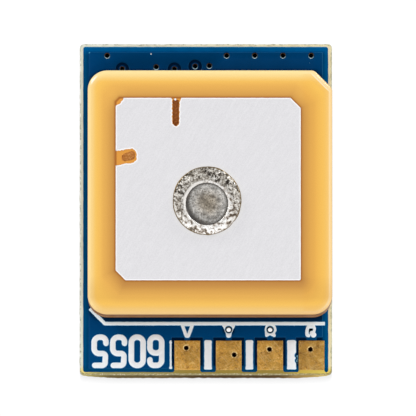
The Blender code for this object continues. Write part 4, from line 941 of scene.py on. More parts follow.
# Each pointer's two sides as (share of the way down, half width, corner radius), from top to foot
FIRST_SIDE = ((0.0, 0.41, 0.02), (1.0, 0.13, 0.10))
SECOND_SIDE = ((0.0, 0.41, 0.02), (0.36, 0.26, 0.06), (0.56, 0.20, 0.04), (0.70, 0.165, 0.05), (1.0, 0.135, 0.12))
THIRD_LEFT = ((0.0, 0.27, 0.02), (0.30, 0.33, 0.08), (0.60, 0.31, 0.08), (1.0, 0.29, 0.08))
THIRD_RIGHT = ((0.0, 0.29, 0.02), (0.16, 0.35, 0.06), (0.42, 0.39, 0.10), (0.66, 0.30, 0.06), (0.84, 0.34, 0.08), (1.0, 0.29, 0.08))
POINTER_SIDES = ((FIRST_SIDE, FIRST_SIDE), (SECOND_SIDE, SECOND_SIDE), (THIRD_LEFT, THIRD_RIGHT))
for number, (pad, (low, high), sides) in enumerate(zip(pad_middles, pad_boxes, POINTER_SIDES), start=1):
    tip = high.y + POINTER_FOOT
    left, right = [
        [(pad.x + way * wide * MM, pointer_top + (tip - pointer_top) * down, radius * MM) for down, wide, radius in side]
        for way, side in zip((-1, 1), sides)]
    foot = [(pad.x, tip + 0.16 * MM, 0.05 * MM)] if number == 3 else []
    outline = filleted([*left, *foot, *right[::-1]])
    outline = ragged(spaced(outline, 0.05 * MM), INK_BLEED * 1.5, 0.2 * MM, 20.0 + number)
    if number == 1:
        window = filleted([(pad.x, pointer_top - 0.55 * MM, 0.02 * MM), (pad.x + 0.18 * MM, pointer_top - 0.06 * MM, 0.03 * MM),
                           (pad.x - 0.18 * MM, pointer_top - 0.06 * MM, 0.03 * MM)])
    else:
        window = circle(label_vias[number - 2], POINTER_RING, 32)
    fitted(f"ink_pointer_{number}", raised(f"ink_pointer_{number}", outline, ink_levels, [window]), ink_finish)

DIGIT_STROKE = 0.33 * MM
DIGIT_WIDTH = 0.72 * MM
DIGIT_HEIGHT = 1.73 * MM
DIGIT_PITCH = 1.14 * MM
DIGITS = "6055"
digits_right = board_low.x + 5.03 * MM
digits_middle_y = board_low.y + 1.46 * MM


def stroke_outline(points, width, cap_steps=6):
    """Outline of a pen stroke with round ends, drawn along points."""
    points = [Vector(point) for point in points]
    sides = []
    for index, point in enumerate(points):
        before = (point - points[max(0, index - 1)])
        after = (points[min(len(points) - 1, index + 1)] - point)
        along = (before.normalized() + after.normalized()).normalized()
        mitre = max(0.5, along.dot(after.normalized() if after.length else before.normalized()))
        sides.append(Vector((-along.y, along.x)) * width / 2 / mitre)
    outline = [point - side for point, side in zip(points, sides)]
    for number in range(1, cap_steps):
        outline.append(points[-1] + Matrix.Rotation(math.pi * number / cap_steps, 2) @ -sides[-1])
    outline += [point + side for point, side in zip(points[::-1], sides[::-1])]
    for number in range(1, cap_steps):
        outline.append(points[0] + Matrix.Rotation(math.pi * number / cap_steps, 2) @ sides[0])
    return [tuple(point) for point in outline]


def digit_strokes(digit):
    """Closed loops and open strokes of a digit, in shares of its width and height, as (x, y, radius)."""
    if digit == "0":
        return [[(0, 0, 0.47), (1, 0, 0.47), (1, 1, 0.47), (0, 1, 0.47)]], []
    if digit == "6":
        bowl = [(0, 0, 0.45), (1, 0, 0.45), (1, 0.56, 0.45), (0, 0.56, 0.45)]
        return [bowl], [[(0, 0.28, 0), (0, 1, 0.45), (1, 1, 0.35), (1, 0.80, 0)]]
    return [], [[(0.95, 1, 0), (0.08, 1, 0.26), (0.04, 0.58, 0.24), (1, 0.58, 0.42), (1, 0, 0.46), (0, 0, 0.40),
                 (0, 0.22, 0)]]


def on_board(points, digit_right):
    """Points of a digit set on the board, turned half round, so that it reads from the other side."""
    return [(digit_right - x, digits_middle_y + DIGIT_HEIGHT / 2 - y) for x, y in points]


last_pad = pad_middles[-1]
# The last pointer is broken: each stroke as (points from the pad's middle with corner radius, width)
BROKEN_STROKES = (
    ([(-0.175, 1.21, 0), (-0.28, 1.24, 0.08), (-0.29, 1.48, 0.15), (-0.22, 1.72, 0.08), (-0.15, 1.84, 0)], 0.20),
    ([(0.12, 1.84, 0), (0.185, 1.60, 0.10), (0.13, 1.44, 0)], 0.17),
    ([(0.05, 1.34, 0), (0.12, 1.26, 0)], 0.34),
    ([(-0.12, 1.765, 0), (0.08, 1.765, 0)], 0.22),
)
# Torn mask between the last bar and the last pad
SCRAPE_STROKES = (
    ([(-0.90, -0.04, 0), (-0.87, -0.20, 0.05), (-0.91, -0.36, 0.05), (-0.84, -0.56, 0)], 0.055),
    ([(-0.84, 0.02, 0), (-0.86, -0.12, 0)], 0.045),
)


def stroke_mesh(label, line, width, levels, seed):
    """A raised stroke with a slightly uneven outline, given by points in millimetres from the last pad's middle."""
    middle_line = filleted([(last_pad.x + x * MM, last_pad.y + y * MM, radius * MM) for x, y, radius in line])
    outline = ragged(spaced(stroke_outline(middle_line, width * MM), 0.04 * MM), INK_BLEED * 1.5, 0.12 * MM, seed)
    return raised(label, outline, levels)


for number, (line, width) in enumerate(BROKEN_STROKES, start=1):
    label = f"ink_pointer_4_{number}"
    levels = [(side * 0.6, level - 0.0006 * MM * number) for side, level in ink_levels]
    fitted(label, stroke_mesh(label, line, width, levels, 60.0 + number), ink_finish)
scrape_finish = finish("torn_mask", srgb(40, 138, 176), 0.4, Specular_IOR_Level=0.3)
drive(scrape_finish, "Base Color", ramp(scrape_finish, grain(scrape_finish, 0.10 * MM), [
    (0.42, srgb(2, 16, 28)), (0.50, srgb(20, 110, 150)), (0.60, srgb(150, 206, 222))]))
for number, (line, width) in enumerate(SCRAPE_STROKES, start=1):
    label = f"mask_scrape_{number}"
    levels = [(0.0, film_top - 0.004 * MM), (0.01 * MM, film_top + 0.02 * MM)]
    fitted(label, stroke_mesh(label, line, width, levels, 70.0 + number), scrape_finish)

for number, digit in enumerate(DIGITS, start=1):
    digit_right = digits_right - (number - 1) * DIGIT_PITCH
    loops, strokes = digit_strokes(digit)
    for kind, lines in (("loop", loops), ("stroke", strokes)):
        for line in lines:
            scaled = [(x * DIGIT_WIDTH, y * DIGIT_HEIGHT, radius * DIGIT_WIDTH) for x, y, radius in line]
            middle_line = on_board(filleted(scaled, 10.0), digit_right)
            label = f"ink_digit_{number}_{kind}"
            if kind == "loop":
                outer = inset(middle_line, -DIGIT_STROKE / 2)
                outer = ragged(spaced(outer, 0.06 * MM), INK_BLEED, 0.2 * MM, 30.0 + number)
                digit_mesh = raised(label, outer, ink_levels, [inset(middle_line, DIGIT_STROKE / 2)])
            else:
                outer = stroke_outline(middle_line, DIGIT_STROKE)
                outer = ragged(spaced(outer, 0.06 * MM), INK_BLEED, 0.2 * MM, 40.0 + number)
                lower = [(side, level - 0.0008 * MM) for side, level in ink_levels]
                digit_mesh = raised(label, outer, lower)
            fitted(label, digit_mesh, ink_finish)


# Antenna block
# Pressed and fired microwave ceramic, amber and faintly translucent, with rounded edges and one
# cut corner that keys it. Two pits are ground through its silver to tune it.
BLOCK_EDGE = 0.22 * MM
BLOCK_FOOT_EDGE = 0.10 * MM
BLOCK_CORNER = 1.2 * MM
BLOCK_CUT_BLEND = 0.45 * MM
PIT_DEPTH = 0.16 * MM

patch_low, patch_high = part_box("patch_electrode")


def block_outline(side):
    left, right = block_low.x + side, block_high.x - side
    bottom, top = block_low.y + side, block_high.y - side
    key = BLOCK_CUT - side * (2 - math.sqrt(2))
    return filleted([
        (left, bottom, BLOCK_CORNER - side), (right, bottom, BLOCK_CORNER - side),
        (right, top - key, BLOCK_CUT_BLEND), (right - key, top, BLOCK_CUT_BLEND), (left, top, BLOCK_CORNER - side),
    ], 5.0)


block_finish = finish("amber_ceramic", srgb(235, 180, 95), 0.42, Specular_IOR_Level=0.3, Coat_Weight=0.5,
                      Coat_Roughness=0.14)
rim_distance = edge_distance(block_finish, block_low, block_high, BLOCK_CORNER)
by_key = node(block_finish, "SeparateXYZ", {0: place_in(block_finish, (1 / MM,) * 3, math.radians(45), (block_high.x, block_high.y, 0))})
key_distance = calculate(block_finish, "SUBTRACT", -BLOCK_CUT / MM * math.sqrt(0.5), by_key.outputs["X"])
rim_distance = calculate(block_finish, "MINIMUM", rim_distance, key_distance)
silver_distance = edge_distance(block_finish, patch_low, patch_high, 0.1 * MM)
for corner_x, corner_y, turn, cut_side in (
        (patch_high.x, patch_high.y, 45, 0.63), (patch_low.x, patch_high.y, 135, 0.24),
        (patch_low.x, patch_low.y, 225, 0.60)):
    by_cut = place_in(block_finish, (1 / MM,) * 3, math.radians(turn), (corner_x, corner_y, 0))
    by_cut = node(block_finish, "SeparateXYZ", {0: by_cut}).outputs["X"]
    by_cut = calculate(block_finish, "SUBTRACT", -cut_side * math.sqrt(0.5), by_cut)
    silver_distance = calculate(block_finish, "MINIMUM", silver_distance, by_cut)
# Painted light: the top is lighter in a band along its rim, for light that comes in through the edges and catches the
# rounded edge, and on the right the band holds a painted highlight line
edge_lit_band = ramp(block_finish, calculate(block_finish, "MULTIPLY", rim_distance, 0.5), [
    (0.0, srgb(255, 228, 160)), (0.06, srgb(254, 220, 150)), (0.15, srgb(252, 212, 132)), (0.24, srgb(249, 200, 104)),
    (0.32, srgb(246, 191, 92)), (0.50, srgb(240, 182, 87))])
right_edge_highlight_band = ramp(block_finish, calculate(block_finish, "MULTIPLY", rim_distance, 0.5), [
    (0.0, srgb(250, 206, 130)), (0.045, srgb(251, 213, 146)), (0.09, srgb(253, 222, 164)), (0.125, srgb(251, 204, 120)),
    (0.20, srgb(249, 198, 102)), (0.32, srgb(244, 186, 86)), (0.50, srgb(238, 178, 81))])
block_place = node(block_finish, "SeparateXYZ", {0: place_in(block_finish)})
at_right = node(block_finish, "MapRange", {0: block_place.outputs["X"], 1: patch_high.x, 2: patch_high.x + 0.3 * MM}).outputs[0]
edge_lit_band = mix(block_finish, at_right, edge_lit_band, right_edge_highlight_band)
# Painted light in the corners beyond the silver, and painted shade next to the silver, stronger low on the block and
# weaker at its upper left
past_silver = calculate(block_finish, "MULTIPLY", silver_distance, -0.5)
corner_light = mix(block_finish, 1.0, ramp(block_finish, past_silver, [(0.40, 0.0), (0.80, 0.7)]),
                ramp(block_finish, rim_distance, [(0.35, 0.0), (0.6, 1.0)]), "MULTIPLY")
edge_lit_band = mix(block_finish, corner_light, edge_lit_band, srgb(254, 202, 92))
shade_by_silver = ramp(block_finish, past_silver, [(0.03, 1.0), (0.17, 0.62), (0.30, 0.28), (0.47, 0.0)])
up_block = node(block_finish, "MapRange", {0: block_place.outputs["Y"], 1: block_low.y, 2: block_high.y}).outputs[0]
upward = ramp(block_finish, up_block, [(0.10, 1.25), (0.20, 1.0), (0.80, 1.0), (0.90, 0.72)])
below_silver = ramp(block_finish, up_block, [(0.04, 0.0), (0.07, 0.22), (0.11, 0.18), (0.16, 0.0)])
shade_by_silver = calculate(block_finish, "MULTIPLY_ADD", shade_by_silver, upward, below_silver)
first_corner, first_turn = polar_distance(block_finish, (patch_low.x - 0.6 * MM, patch_high.y + 0.6 * MM, 0))
first_corner = ramp(block_finish, calculate(block_finish, "MULTIPLY", first_corner, 0.5), [(0.2, 0.3), (0.7, 1.0)])
shade_by_silver = calculate(block_finish, "MULTIPLY", shade_by_silver, first_corner)
edge_lit_band = mix(block_finish, shade_by_silver, edge_lit_band, srgb(200, 142, 69))
# Painted light along the top of the block
top_light = node(block_finish, "MapRange", {0: block_place.outputs["Y"], 1: block_high.y - 0.70 * MM, 2: block_high.y - 0.30 * MM,
                                         3: 0.0, 4: 0.5}).outputs[0]
edge_lit_band = mix(block_finish, top_light, edge_lit_band, srgb(255, 232, 164))
at_foot = node(block_finish, "MapRange", {0: block_place.outputs["Y"], 1: block_low.y + 0.7 * MM, 2: block_low.y + 0.1 * MM,
                                          3: 0.0, 4: 0.75}).outputs[0]
edge_lit_band = mix(block_finish, at_foot, edge_lit_band, srgb(238, 190, 112))
near = calculate(block_finish, "ADD", silver_distance, 0.20)
halo = ramp(block_finish, calculate(block_finish, "MULTIPLY", near, 5.0), [(0.0, 0.0), (0.5, 0.25), (0.72, 0.8), (0.85, 1.0), (1.0, 1.0)])
block_colour = mix(block_finish, halo, edge_lit_band, srgb(174, 106, 38))
block_colour = mix(block_finish, ramp(block_finish, silver_distance, [(0.02, 0.0), (0.09, 1.0)]), block_colour, srgb(228, 156, 64))
# Painted highlight along the keyed cut
key_highlight = ramp(block_finish, key_distance, [(0.20, 0.0), (0.27, 0.75), (0.32, 0.0)])
key_middle = ramp(block_finish, calculate(block_finish, "MULTIPLY_ADD", by_key.outputs["Y"], 0.5, 0.5),
                  [(0.05, 0.0), (0.2, 1.0), (0.8, 1.0), (0.95, 0.0)])
block_colour = mix(block_finish, mix(block_finish, 1.0, key_highlight, key_middle, "MULTIPLY"), block_colour, srgb(255, 250, 226))
# Painted highlight and shade along the rim: a thin painted darker line just inside it, except on the right, and a
# bright painted streak at the upper left corner
corner_from, corner_turn = polar_distance(block_finish, (block_low.x + 0.24 * MM, block_high.y - 0.48 * MM, 0))
edge_shade_line = ramp(block_finish, rim_distance, [(0.04, 0.0), (0.075, 0.4), (0.11, 0.0)])
edge_shade_line = calculate(block_finish, "MULTIPLY", edge_shade_line, calculate(block_finish, "SUBTRACT", 1.0, at_right))
block_colour = mix(block_finish, edge_shade_line, block_colour, srgb(232, 196, 112))
corner_highlight = ramp(block_finish, rim_distance, [(0.09, 0.0), (0.13, 0.9), (0.18, 0.9), (0.24, 0.0)])
corner_highlight = mix(block_finish, 1.0, corner_highlight, ramp(block_finish, corner_from, [(0.20, 1.0), (0.42, 0.0)]), "MULTIPLY")
block_colour = mix(block_finish, corner_highlight, block_colour, srgb(255, 254, 244))
block_up = node(block_finish, "SeparateXYZ", {0: place_in(block_finish)}).outputs["Z"]
on_side = node(block_finish, "MapRange", {0: block_up, 1: block_high.z - 0.10 * MM, 2: block_high.z - 0.22 * MM}).outputs[0]
drive(block_finish, "Coat Weight", calculate(block_finish, "MULTIPLY_ADD", on_side, -0.5, 0.5))
drive(block_finish, "Specular IOR Level", calculate(block_finish, "MULTIPLY_ADD", on_side, -0.26, 0.3))
# Painted shade: the walls are a darker brown than the top, darkest just under the rounded top edge
down_wall = node(block_finish, "MapRange", {0: block_up, 1: block_high.z, 2: block_low.z}).outputs[0]
shaded_wall_tone = ramp(block_finish, down_wall, [(0.0, srgb(106, 64, 30)), (0.45, srgb(150, 100, 50)), (0.85, srgb(174, 120, 62)),
                                           (0.97, srgb(136, 100, 62))])
block_colour = mix(block_finish, on_side, block_colour, shaded_wall_tone)
speckle = ramp(block_finish, grain(block_finish, 0.05 * MM, 3.0), [(0.3, 0.96), (0.7, 1.03)])
drive(block_finish, "Base Color", mix(block_finish, 1.0, block_colour, speckle, "MULTIPLY"))
bump(block_finish, grain(block_finish, 0.08 * MM, 3.0), 0.003 * MM, 0.5)

pit_finish = finish("ground_ceramic", srgb(160, 100, 45), 0.7, Specular_IOR_Level=0.2)
pit_grain = grain(pit_finish, 0.12 * MM, 5.0, roughness=0.7)
slot_tone = ramp(pit_finish, pit_grain, [(0.3, srgb(120, 58, 12)), (0.5, srgb(154, 86, 32)), (0.7, srgb(184, 120, 60))])
step_tone = ramp(pit_finish, pit_grain, [(0.3, srgb(170, 104, 40)), (0.5, srgb(200, 132, 62)), (0.7, srgb(232, 178, 110))])
pit_up = node(pit_finish, "SeparateXYZ", {0: place_in(pit_finish)}).outputs["Y"]
in_slot = calculate(pit_finish, "GREATER_THAN", pit_up, patch_high.y - 2.4 * MM)
drive(pit_finish, "Base Color", mix(pit_finish, in_slot, step_tone, slot_tone))
bump(pit_finish, pit_grain, 0.03 * MM, 0.8)

edge_angles = [math.radians(angle) for angle in (0, 15, 30, 45, 60, 75, 90)]
block_levels = [(BLOCK_FOOT_EDGE * (1 - math.sin(a)), block_low.z + BLOCK_FOOT_EDGE * (1 - math.cos(a))) for a in edge_angles[::2]]
block_levels += [(BLOCK_EDGE * (1 - math.cos(a)), block_high.z - BLOCK_EDGE * (1 - math.sin(a))) for a in edge_angles]
block_stack = [ring(block_outline(side), height) for side, height in block_levels]
pin_hole = circle(feed, FEED_HOLE, 40)[::-1]
hole_stack = [ring(pin_hole, height) for side, height in block_levels]
block_mesh = walled("antenna_block", [block_stack, hole_stack])
block_mesh.materials.append(block_finish)
block_mesh.materials.append(pit_finish)

SLOT_FROM_LEFT = 3.67 * MM
SLOT_WIDTH = 0.46 * MM
SLOT_DEPTH = 1.70 * MM
SLOT_FLARE = 0.10 * MM
STEP_FROM_TOP = 3.70 * MM
STEP_WIDTH = 0.88 * MM
STEP_DEPTH = 1.25 * MM
STEP_RISE = 0.19 * MM
STEP_CORNER = 0.30 * MM
slot_x = patch_low.x + SLOT_FROM_LEFT
step_y = patch_high.y - STEP_FROM_TOP
slot_pit = filleted([
    (slot_x - 0.19 * MM, patch_high.y - SLOT_DEPTH + 0.12 * MM, 0.10 * MM),
    (slot_x, patch_high.y - SLOT_DEPTH - 0.08 * MM, 0.12 * MM),
    (slot_x + 0.19 * MM, patch_high.y - SLOT_DEPTH + 0.12 * MM, 0.10 * MM),
    (slot_x + 0.20 * MM, patch_high.y - 0.10 * MM, 0.12 * MM), (slot_x - 0.20 * MM, patch_high.y - 0.10 * MM, 0.12 * MM)])
step_pit = filleted([
    (patch_low.x + 0.36 * MM, step_y - 0.30 * MM + 0.05 * MM, 0.2 * MM),
    (patch_low.x + 1.20 * MM, step_y - 0.26 * MM + STEP_RISE, 0.22 * MM),
    (patch_low.x + 1.20 * MM, step_y + 0.38 * MM + STEP_RISE, 0.22 * MM),
    (patch_low.x + 0.36 * MM, step_y + 0.22 * MM, 0.2 * MM)])


def pit_mesh(name, outline, seed):
    """A cutter with a rounded, uneven foot."""
    outline = ragged(spaced(outline, 0.05 * MM), 0.02 * MM, 0.1 * MM, seed)
    levels = [(0.10 * MM, block_high.z - PIT_DEPTH), (0.04 * MM, block_high.z - 0.8 * PIT_DEPTH),
              (0.01 * MM, block_high.z - 0.4 * PIT_DEPTH), (0.0, block_high.z + 0.1 * MM)]
    mesh = raised(name, outline, levels)
    mesh.materials.append(pit_finish)
    return mesh


block_carrier = bpy.data.objects.new("block_carrier", block_mesh)
bpy.context.scene.collection.objects.link(block_carrier)
cutters = []
for name, outline, seed in (("slot_pit", slot_pit, 4.0), ("step_pit", step_pit, 8.0)):
    cutter = bpy.data.objects.new(name, pit_mesh(name, outline, seed))
    bpy.context.scene.collection.objects.link(cutter)
    cutters.append(cutter)
    cut = block_carrier.modifiers.new(name, "BOOLEAN")
    cut.operation = "DIFFERENCE"
    cut.object = cutter
    cut.material_mode = "TRANSFER"
cut_mesh = bpy.data.meshes.new_from_object(block_carrier.evaluated_get(bpy.context.evaluated_depsgraph_get()))
for obj in (block_carrier, *cutters):
    bpy.data.objects.remove(obj)
cut_mesh.name = "antenna_block"
fitted("antenna_block", cut_mesh, block_finish, ["ceramic_block"], smooth=50)


# Antenna silver
# Silver paste, screened and fired on the block's top, satin white with fine scratches and a
# slightly thicker rim. The tuning cuts left ragged notches in its upper and left edges.
SILVER_RIM = 0.006 * MM
PATCH_CUTS = {"lower_left": 0.60 * MM, "upper_right": 0.63 * MM, "upper_left": 0.48 * MM}
slot_half = SLOT_WIDTH / 2
slot_end = patch_high.y - SLOT_DEPTH
step_half = STEP_WIDTH / 2
step_end = patch_low.x + STEP_DEPTH
silver_outline = filleted([
    (patch_high.x, patch_low.y, 0.10 * MM),
    (patch_high.x, patch_high.y - PATCH_CUTS["upper_right"], 0.03 * MM),
    (patch_high.x - PATCH_CUTS["upper_right"], patch_high.y, 0.03 * MM),
    (slot_x + slot_half + SLOT_FLARE, patch_high.y, 0.03 * MM),
    (slot_x + slot_half, patch_high.y - 3 * SLOT_FLARE, 0.03 * MM),
    (slot_x + slot_half, slot_end + 0.14 * MM, 0.10 * MM),
    (slot_x, slot_end - 0.10 * MM, 0.14 * MM),
    (slot_x - slot_half, slot_end + 0.14 * MM, 0.10 * MM),
    (slot_x - slot_half, patch_high.y - 2 * SLOT_FLARE, 0.03 * MM),
    (slot_x - slot_half - SLOT_FLARE / 2, patch_high.y, 0.03 * MM),
    (patch_low.x + PATCH_CUTS["upper_left"], patch_high.y, 0.03 * MM),
    (patch_low.x + 0.45 * MM, patch_high.y - 0.15 * MM, 0.06 * MM),
    (patch_low.x + 0.33 * MM, patch_high.y - 0.22 * MM, 0.04 * MM),
    (patch_low.x + 0.30 * MM, patch_high.y - 0.33 * MM, 0.06 * MM),
    (patch_low.x, patch_high.y - PATCH_CUTS["upper_left"], 0.05 * MM),
    (patch_low.x, step_y + step_half, 0.03 * MM),
    (step_end, step_y + step_half + STEP_RISE, STEP_CORNER),
    (step_end, step_y - step_half + STEP_RISE, STEP_CORNER),
    (patch_low.x, step_y - step_half, 0.03 * MM),
    (patch_low.x, patch_low.y + PATCH_CUTS["lower_left"], 0.03 * MM),
    (patch_low.x + PATCH_CUTS["lower_left"], patch_low.y, 0.03 * MM),
])
silver_outline = spaced(silver_outline, 0.06 * MM)


def notch_wear(outline):
    """The silver's outline with its ground notches made ragged, and its printed edges left true."""
    slot_spot = Vector((slot_x, patch_high.y - SLOT_DEPTH / 2))
    step_spot = Vector((patch_low.x + STEP_DEPTH / 2, step_y))
    worn = []
    rough = ragged(outline, 0.060 * MM, 0.12 * MM, 2.0)
    fair = ragged(outline, 0.006 * MM, 0.3 * MM, 5.0)
    for point, torn_point, fair_point in zip(outline, rough, fair):
        near_slot = abs(point[0] - slot_spot.x) < SLOT_WIDTH * 0.8
        near_slot = near_slot and patch_high.y - SLOT_DEPTH - 0.1 * MM < point[1] < patch_high.y - 0.05 * MM
        near_step = point[0] > patch_low.x + 0.05 * MM and point[0] < step_end + 0.05 * MM
        near_step = near_step and abs(point[1] - step_spot.y) < STEP_WIDTH
        worn.append(torn_point if near_slot or near_step else fair_point)
    return worn


silver_finish = finish("fired_silver", srgb(228, 226, 228), 0.55, 0.25, Specular_IOR_Level=0.4)
scratches = grain(silver_finish, 0.10 * MM, 3.0, place_in(silver_finish, (1.0, 0.12, 1.0), math.radians(-32)))
fine = grain(silver_finish, 0.05 * MM, 4.0)
silver_tone = ramp(silver_finish, scratches, [(0.30, srgb(226, 225, 228)), (0.52, srgb(231, 230, 233)), (0.72, srgb(237, 236, 239))])
silver_tone = mix(silver_finish, 0.5, silver_tone,
                  ramp(silver_finish, fine, [(0.28, srgb(218, 217, 220)), (0.5, srgb(231, 230, 233)), (0.72, srgb(243, 242, 245))]))
solder_near, solder_turn = polar_distance(silver_finish, (feed.x, feed.y + 0.20 * MM, 0))
flushed = ramp(silver_finish, calculate(silver_finish, "MULTIPLY", solder_near, 0.25), [(0.53, 0.45), (0.60, 0.0)])
silver_tone = mix(silver_finish, flushed, silver_tone, srgb(243, 241, 238))
# Painted highlight: the raised rim of the silver is painted pure white
silver_height = node(silver_finish, "SeparateXYZ", {0: place_in(silver_finish)}).outputs["Z"]
rim_highlight = node(silver_finish, "MapRange", {0: silver_height, 1: patch_high.z - 0.8 * SILVER_RIM, 2: patch_high.z}).outputs[0]
drive(silver_finish, "Base Color", mix(silver_finish, rim_highlight, silver_tone, srgb(255, 255, 255)))
bump(silver_finish, mix(silver_finish, 0.5, scratches, fine), 0.003 * MM, 0.6)
silver_top = patch_high.z - SILVER_RIM
silver_levels = [
    (0.0, block_high.z - 0.0005 * MM),
    (0.0, silver_top - 0.012 * MM),
    (0.008 * MM, silver_top),
    (0.028 * MM, patch_high.z),
    (0.060 * MM, patch_high.z),
    (0.095 * MM, silver_top),
]
silver = raised("patch_silver", notch_wear(silver_outline), silver_levels, [circle(feed, FEED_HOLE, 40)])
fitted("patch_silver", silver, silver_finish, ["patch_electrode"], smooth=60)
fleck_outline = ragged(circle((slot_x - 0.03 * MM, patch_high.y - 0.10 * MM), 0.065 * MM, 16), 0.02 * MM, 0.05 * MM, 3.0)
fleck = raised("silver_fleck", fleck_outline, [(0.0, block_high.z - PIT_DEPTH), (0.0, silver_top), (0.02 * MM, patch_high.z)])
fitted("silver_fleck", fleck, silver_finish)


# Feed pin and its solder
# A brass nail, dull tinned, pushed through the block and the board. Its flat head lies on the silver in a hand-made
# ring of solder, with painted highlights and reflections on one side and painted dark reflections and pits on the
# other.
HEAD_RADIUS = (feed_high.x - feed_low.x) / 2
HEAD_RINGS = 26
TURN_STEPS = 120
SHANK = 0.45 * MM
TIP_CHAMFER = 0.12 * MM


def turned(name, profile, sides=TURN_STEPS):
    """A mesh turned about the feed's axis. The profile gives (radius, height) down the outside."""
    shape = bmesh.new()
    rows = []
    for radius, height in profile:
        if radius <= 0:
            rows.append([shape.verts.new((feed.x, feed.y, height))] * sides)
            continue
        row = []
        for x, y in circle((feed.x, feed.y), radius, sides):
            row.append(shape.verts.new((x, y, height)))
        rows.append(row)
    for upper, lower in zip(rows, rows[1:]):
        for index in range(sides):
            corners = (upper[index - 1], lower[index - 1], lower[index], upper[index])
            corners = list(dict.fromkeys(corners))
            if len(corners) > 2:
                shape.faces.new(corners)
    bmesh.ops.recalc_face_normals(shape, faces=shape.faces)
    mesh = bpy.data.meshes.new(name)
    shape.to_mesh(mesh)
    shape.free()
    return mesh


head_bottom = patch_high.z
head_top = feed_high.z
pin_profile = []
for number in range(HEAD_RINGS + 1):
    share = number / HEAD_RINGS
    dish = 0.035 * MM * (math.cos(math.pi * min(1.0, share * 1.12)) + 1) / 2
    pin_profile.append((HEAD_RADIUS * share * 0.955, head_top - 0.012 * MM - dish))
pin_profile += [(HEAD_RADIUS * 0.985, head_top - 0.02 * MM), (HEAD_RADIUS, head_top - 0.05 * MM),
                (HEAD_RADIUS, head_bottom), (SHANK, head_bottom), (SHANK, feed_low.z + TIP_CHAMFER),
                (SHANK - TIP_CHAMFER, feed_low.z), (0.0, feed_low.z)]
pin_mesh = turned("feed_nail", pin_profile)
for vert in pin_mesh.vertices:
    if vert.co.z > head_top - 0.06 * MM:
        vert.co.z += 0.010 * MM * noise.fractal(vert.co / (0.35 * MM), 1.0, 2.0, 4)

tin_finish = finish("dull_tin", srgb(152, 146, 136), 0.45, 0.6)
tin_patches = grain(tin_finish, 0.45 * MM, 6.0, roughness=0.6)
tin_specks = grain(tin_finish, 0.09 * MM, 4.0)
axis = (feed.x, feed.y, 0)
from_axis, around = polar_distance(tin_finish, axis)
wavering = calculate(tin_finish, "MULTIPLY_ADD", tin_patches, 0.30, from_axis)
shaded_side = ramp(tin_finish, around, [(0.0, 0.8), (0.06, 1.0), (0.20, 1.0), (0.30, 0.2), (0.45, 0.25), (0.62, 0.0), (0.72, 0.1),
                                        (0.88, 0.3), (1.0, 0.8)])
wavering = calculate(tin_finish, "MULTIPLY_ADD", shaded_side, 0.21, wavering)
wavering = calculate(tin_finish, "DIVIDE", wavering, HEAD_RADIUS / MM + 0.24)
# Painted shade: the head darkens towards its edge, most on its shaded side
tin_tone = ramp(tin_finish, wavering, [
    (0.10, srgb(144, 134, 118)), (0.45, srgb(162, 153, 140)), (0.70, srgb(194, 190, 184)), (0.86, srgb(186, 184, 180)),
    (0.94, srgb(116, 113, 109)), (1.0, srgb(84, 81, 78))])
tin_cloud = ramp(tin_finish, tin_patches, [(0.40, 0.60), (0.47, 0.88), (0.54, 1.10), (0.61, 1.34)])
tin_tone = mix(tin_finish, 1.0, tin_tone, tin_cloud, "MULTIPLY")
tin_mottle = ramp(tin_finish, grain(tin_finish, 0.11 * MM, 5.0, roughness=0.75), [(0.38, 0.62), (0.46, 0.88), (0.54, 1.10), (0.62, 1.42)])
tin_tone = mix(tin_finish, 1.0, tin_tone, tin_mottle, "MULTIPLY")
tin_tone = mix(tin_finish, ramp(tin_finish, tin_specks, [(0.36, 0.75), (0.46, 0.0)]), tin_tone, srgb(96, 84, 68))
drive(tin_finish, "Base Color", tin_tone)
drive(tin_finish, "Roughness", ramp(tin_finish, tin_specks, [(0.3, 0.62), (0.7, 0.38)]))
bump(tin_finish, mix(tin_finish, 0.5, tin_patches, tin_specks), 0.03 * MM, 0.7)
fitted("feed_nail", pin_mesh, tin_finish, ["feed_pin"], smooth=50)

solder_low, solder_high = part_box("patch_solder")
SOLDER_OUTER = (solder_high.x - solder_low.x) / 2
solder_middle = (solder_low + solder_high) / 2
SOLDER_RINGS = 22
SOLDER_STEPS = 200


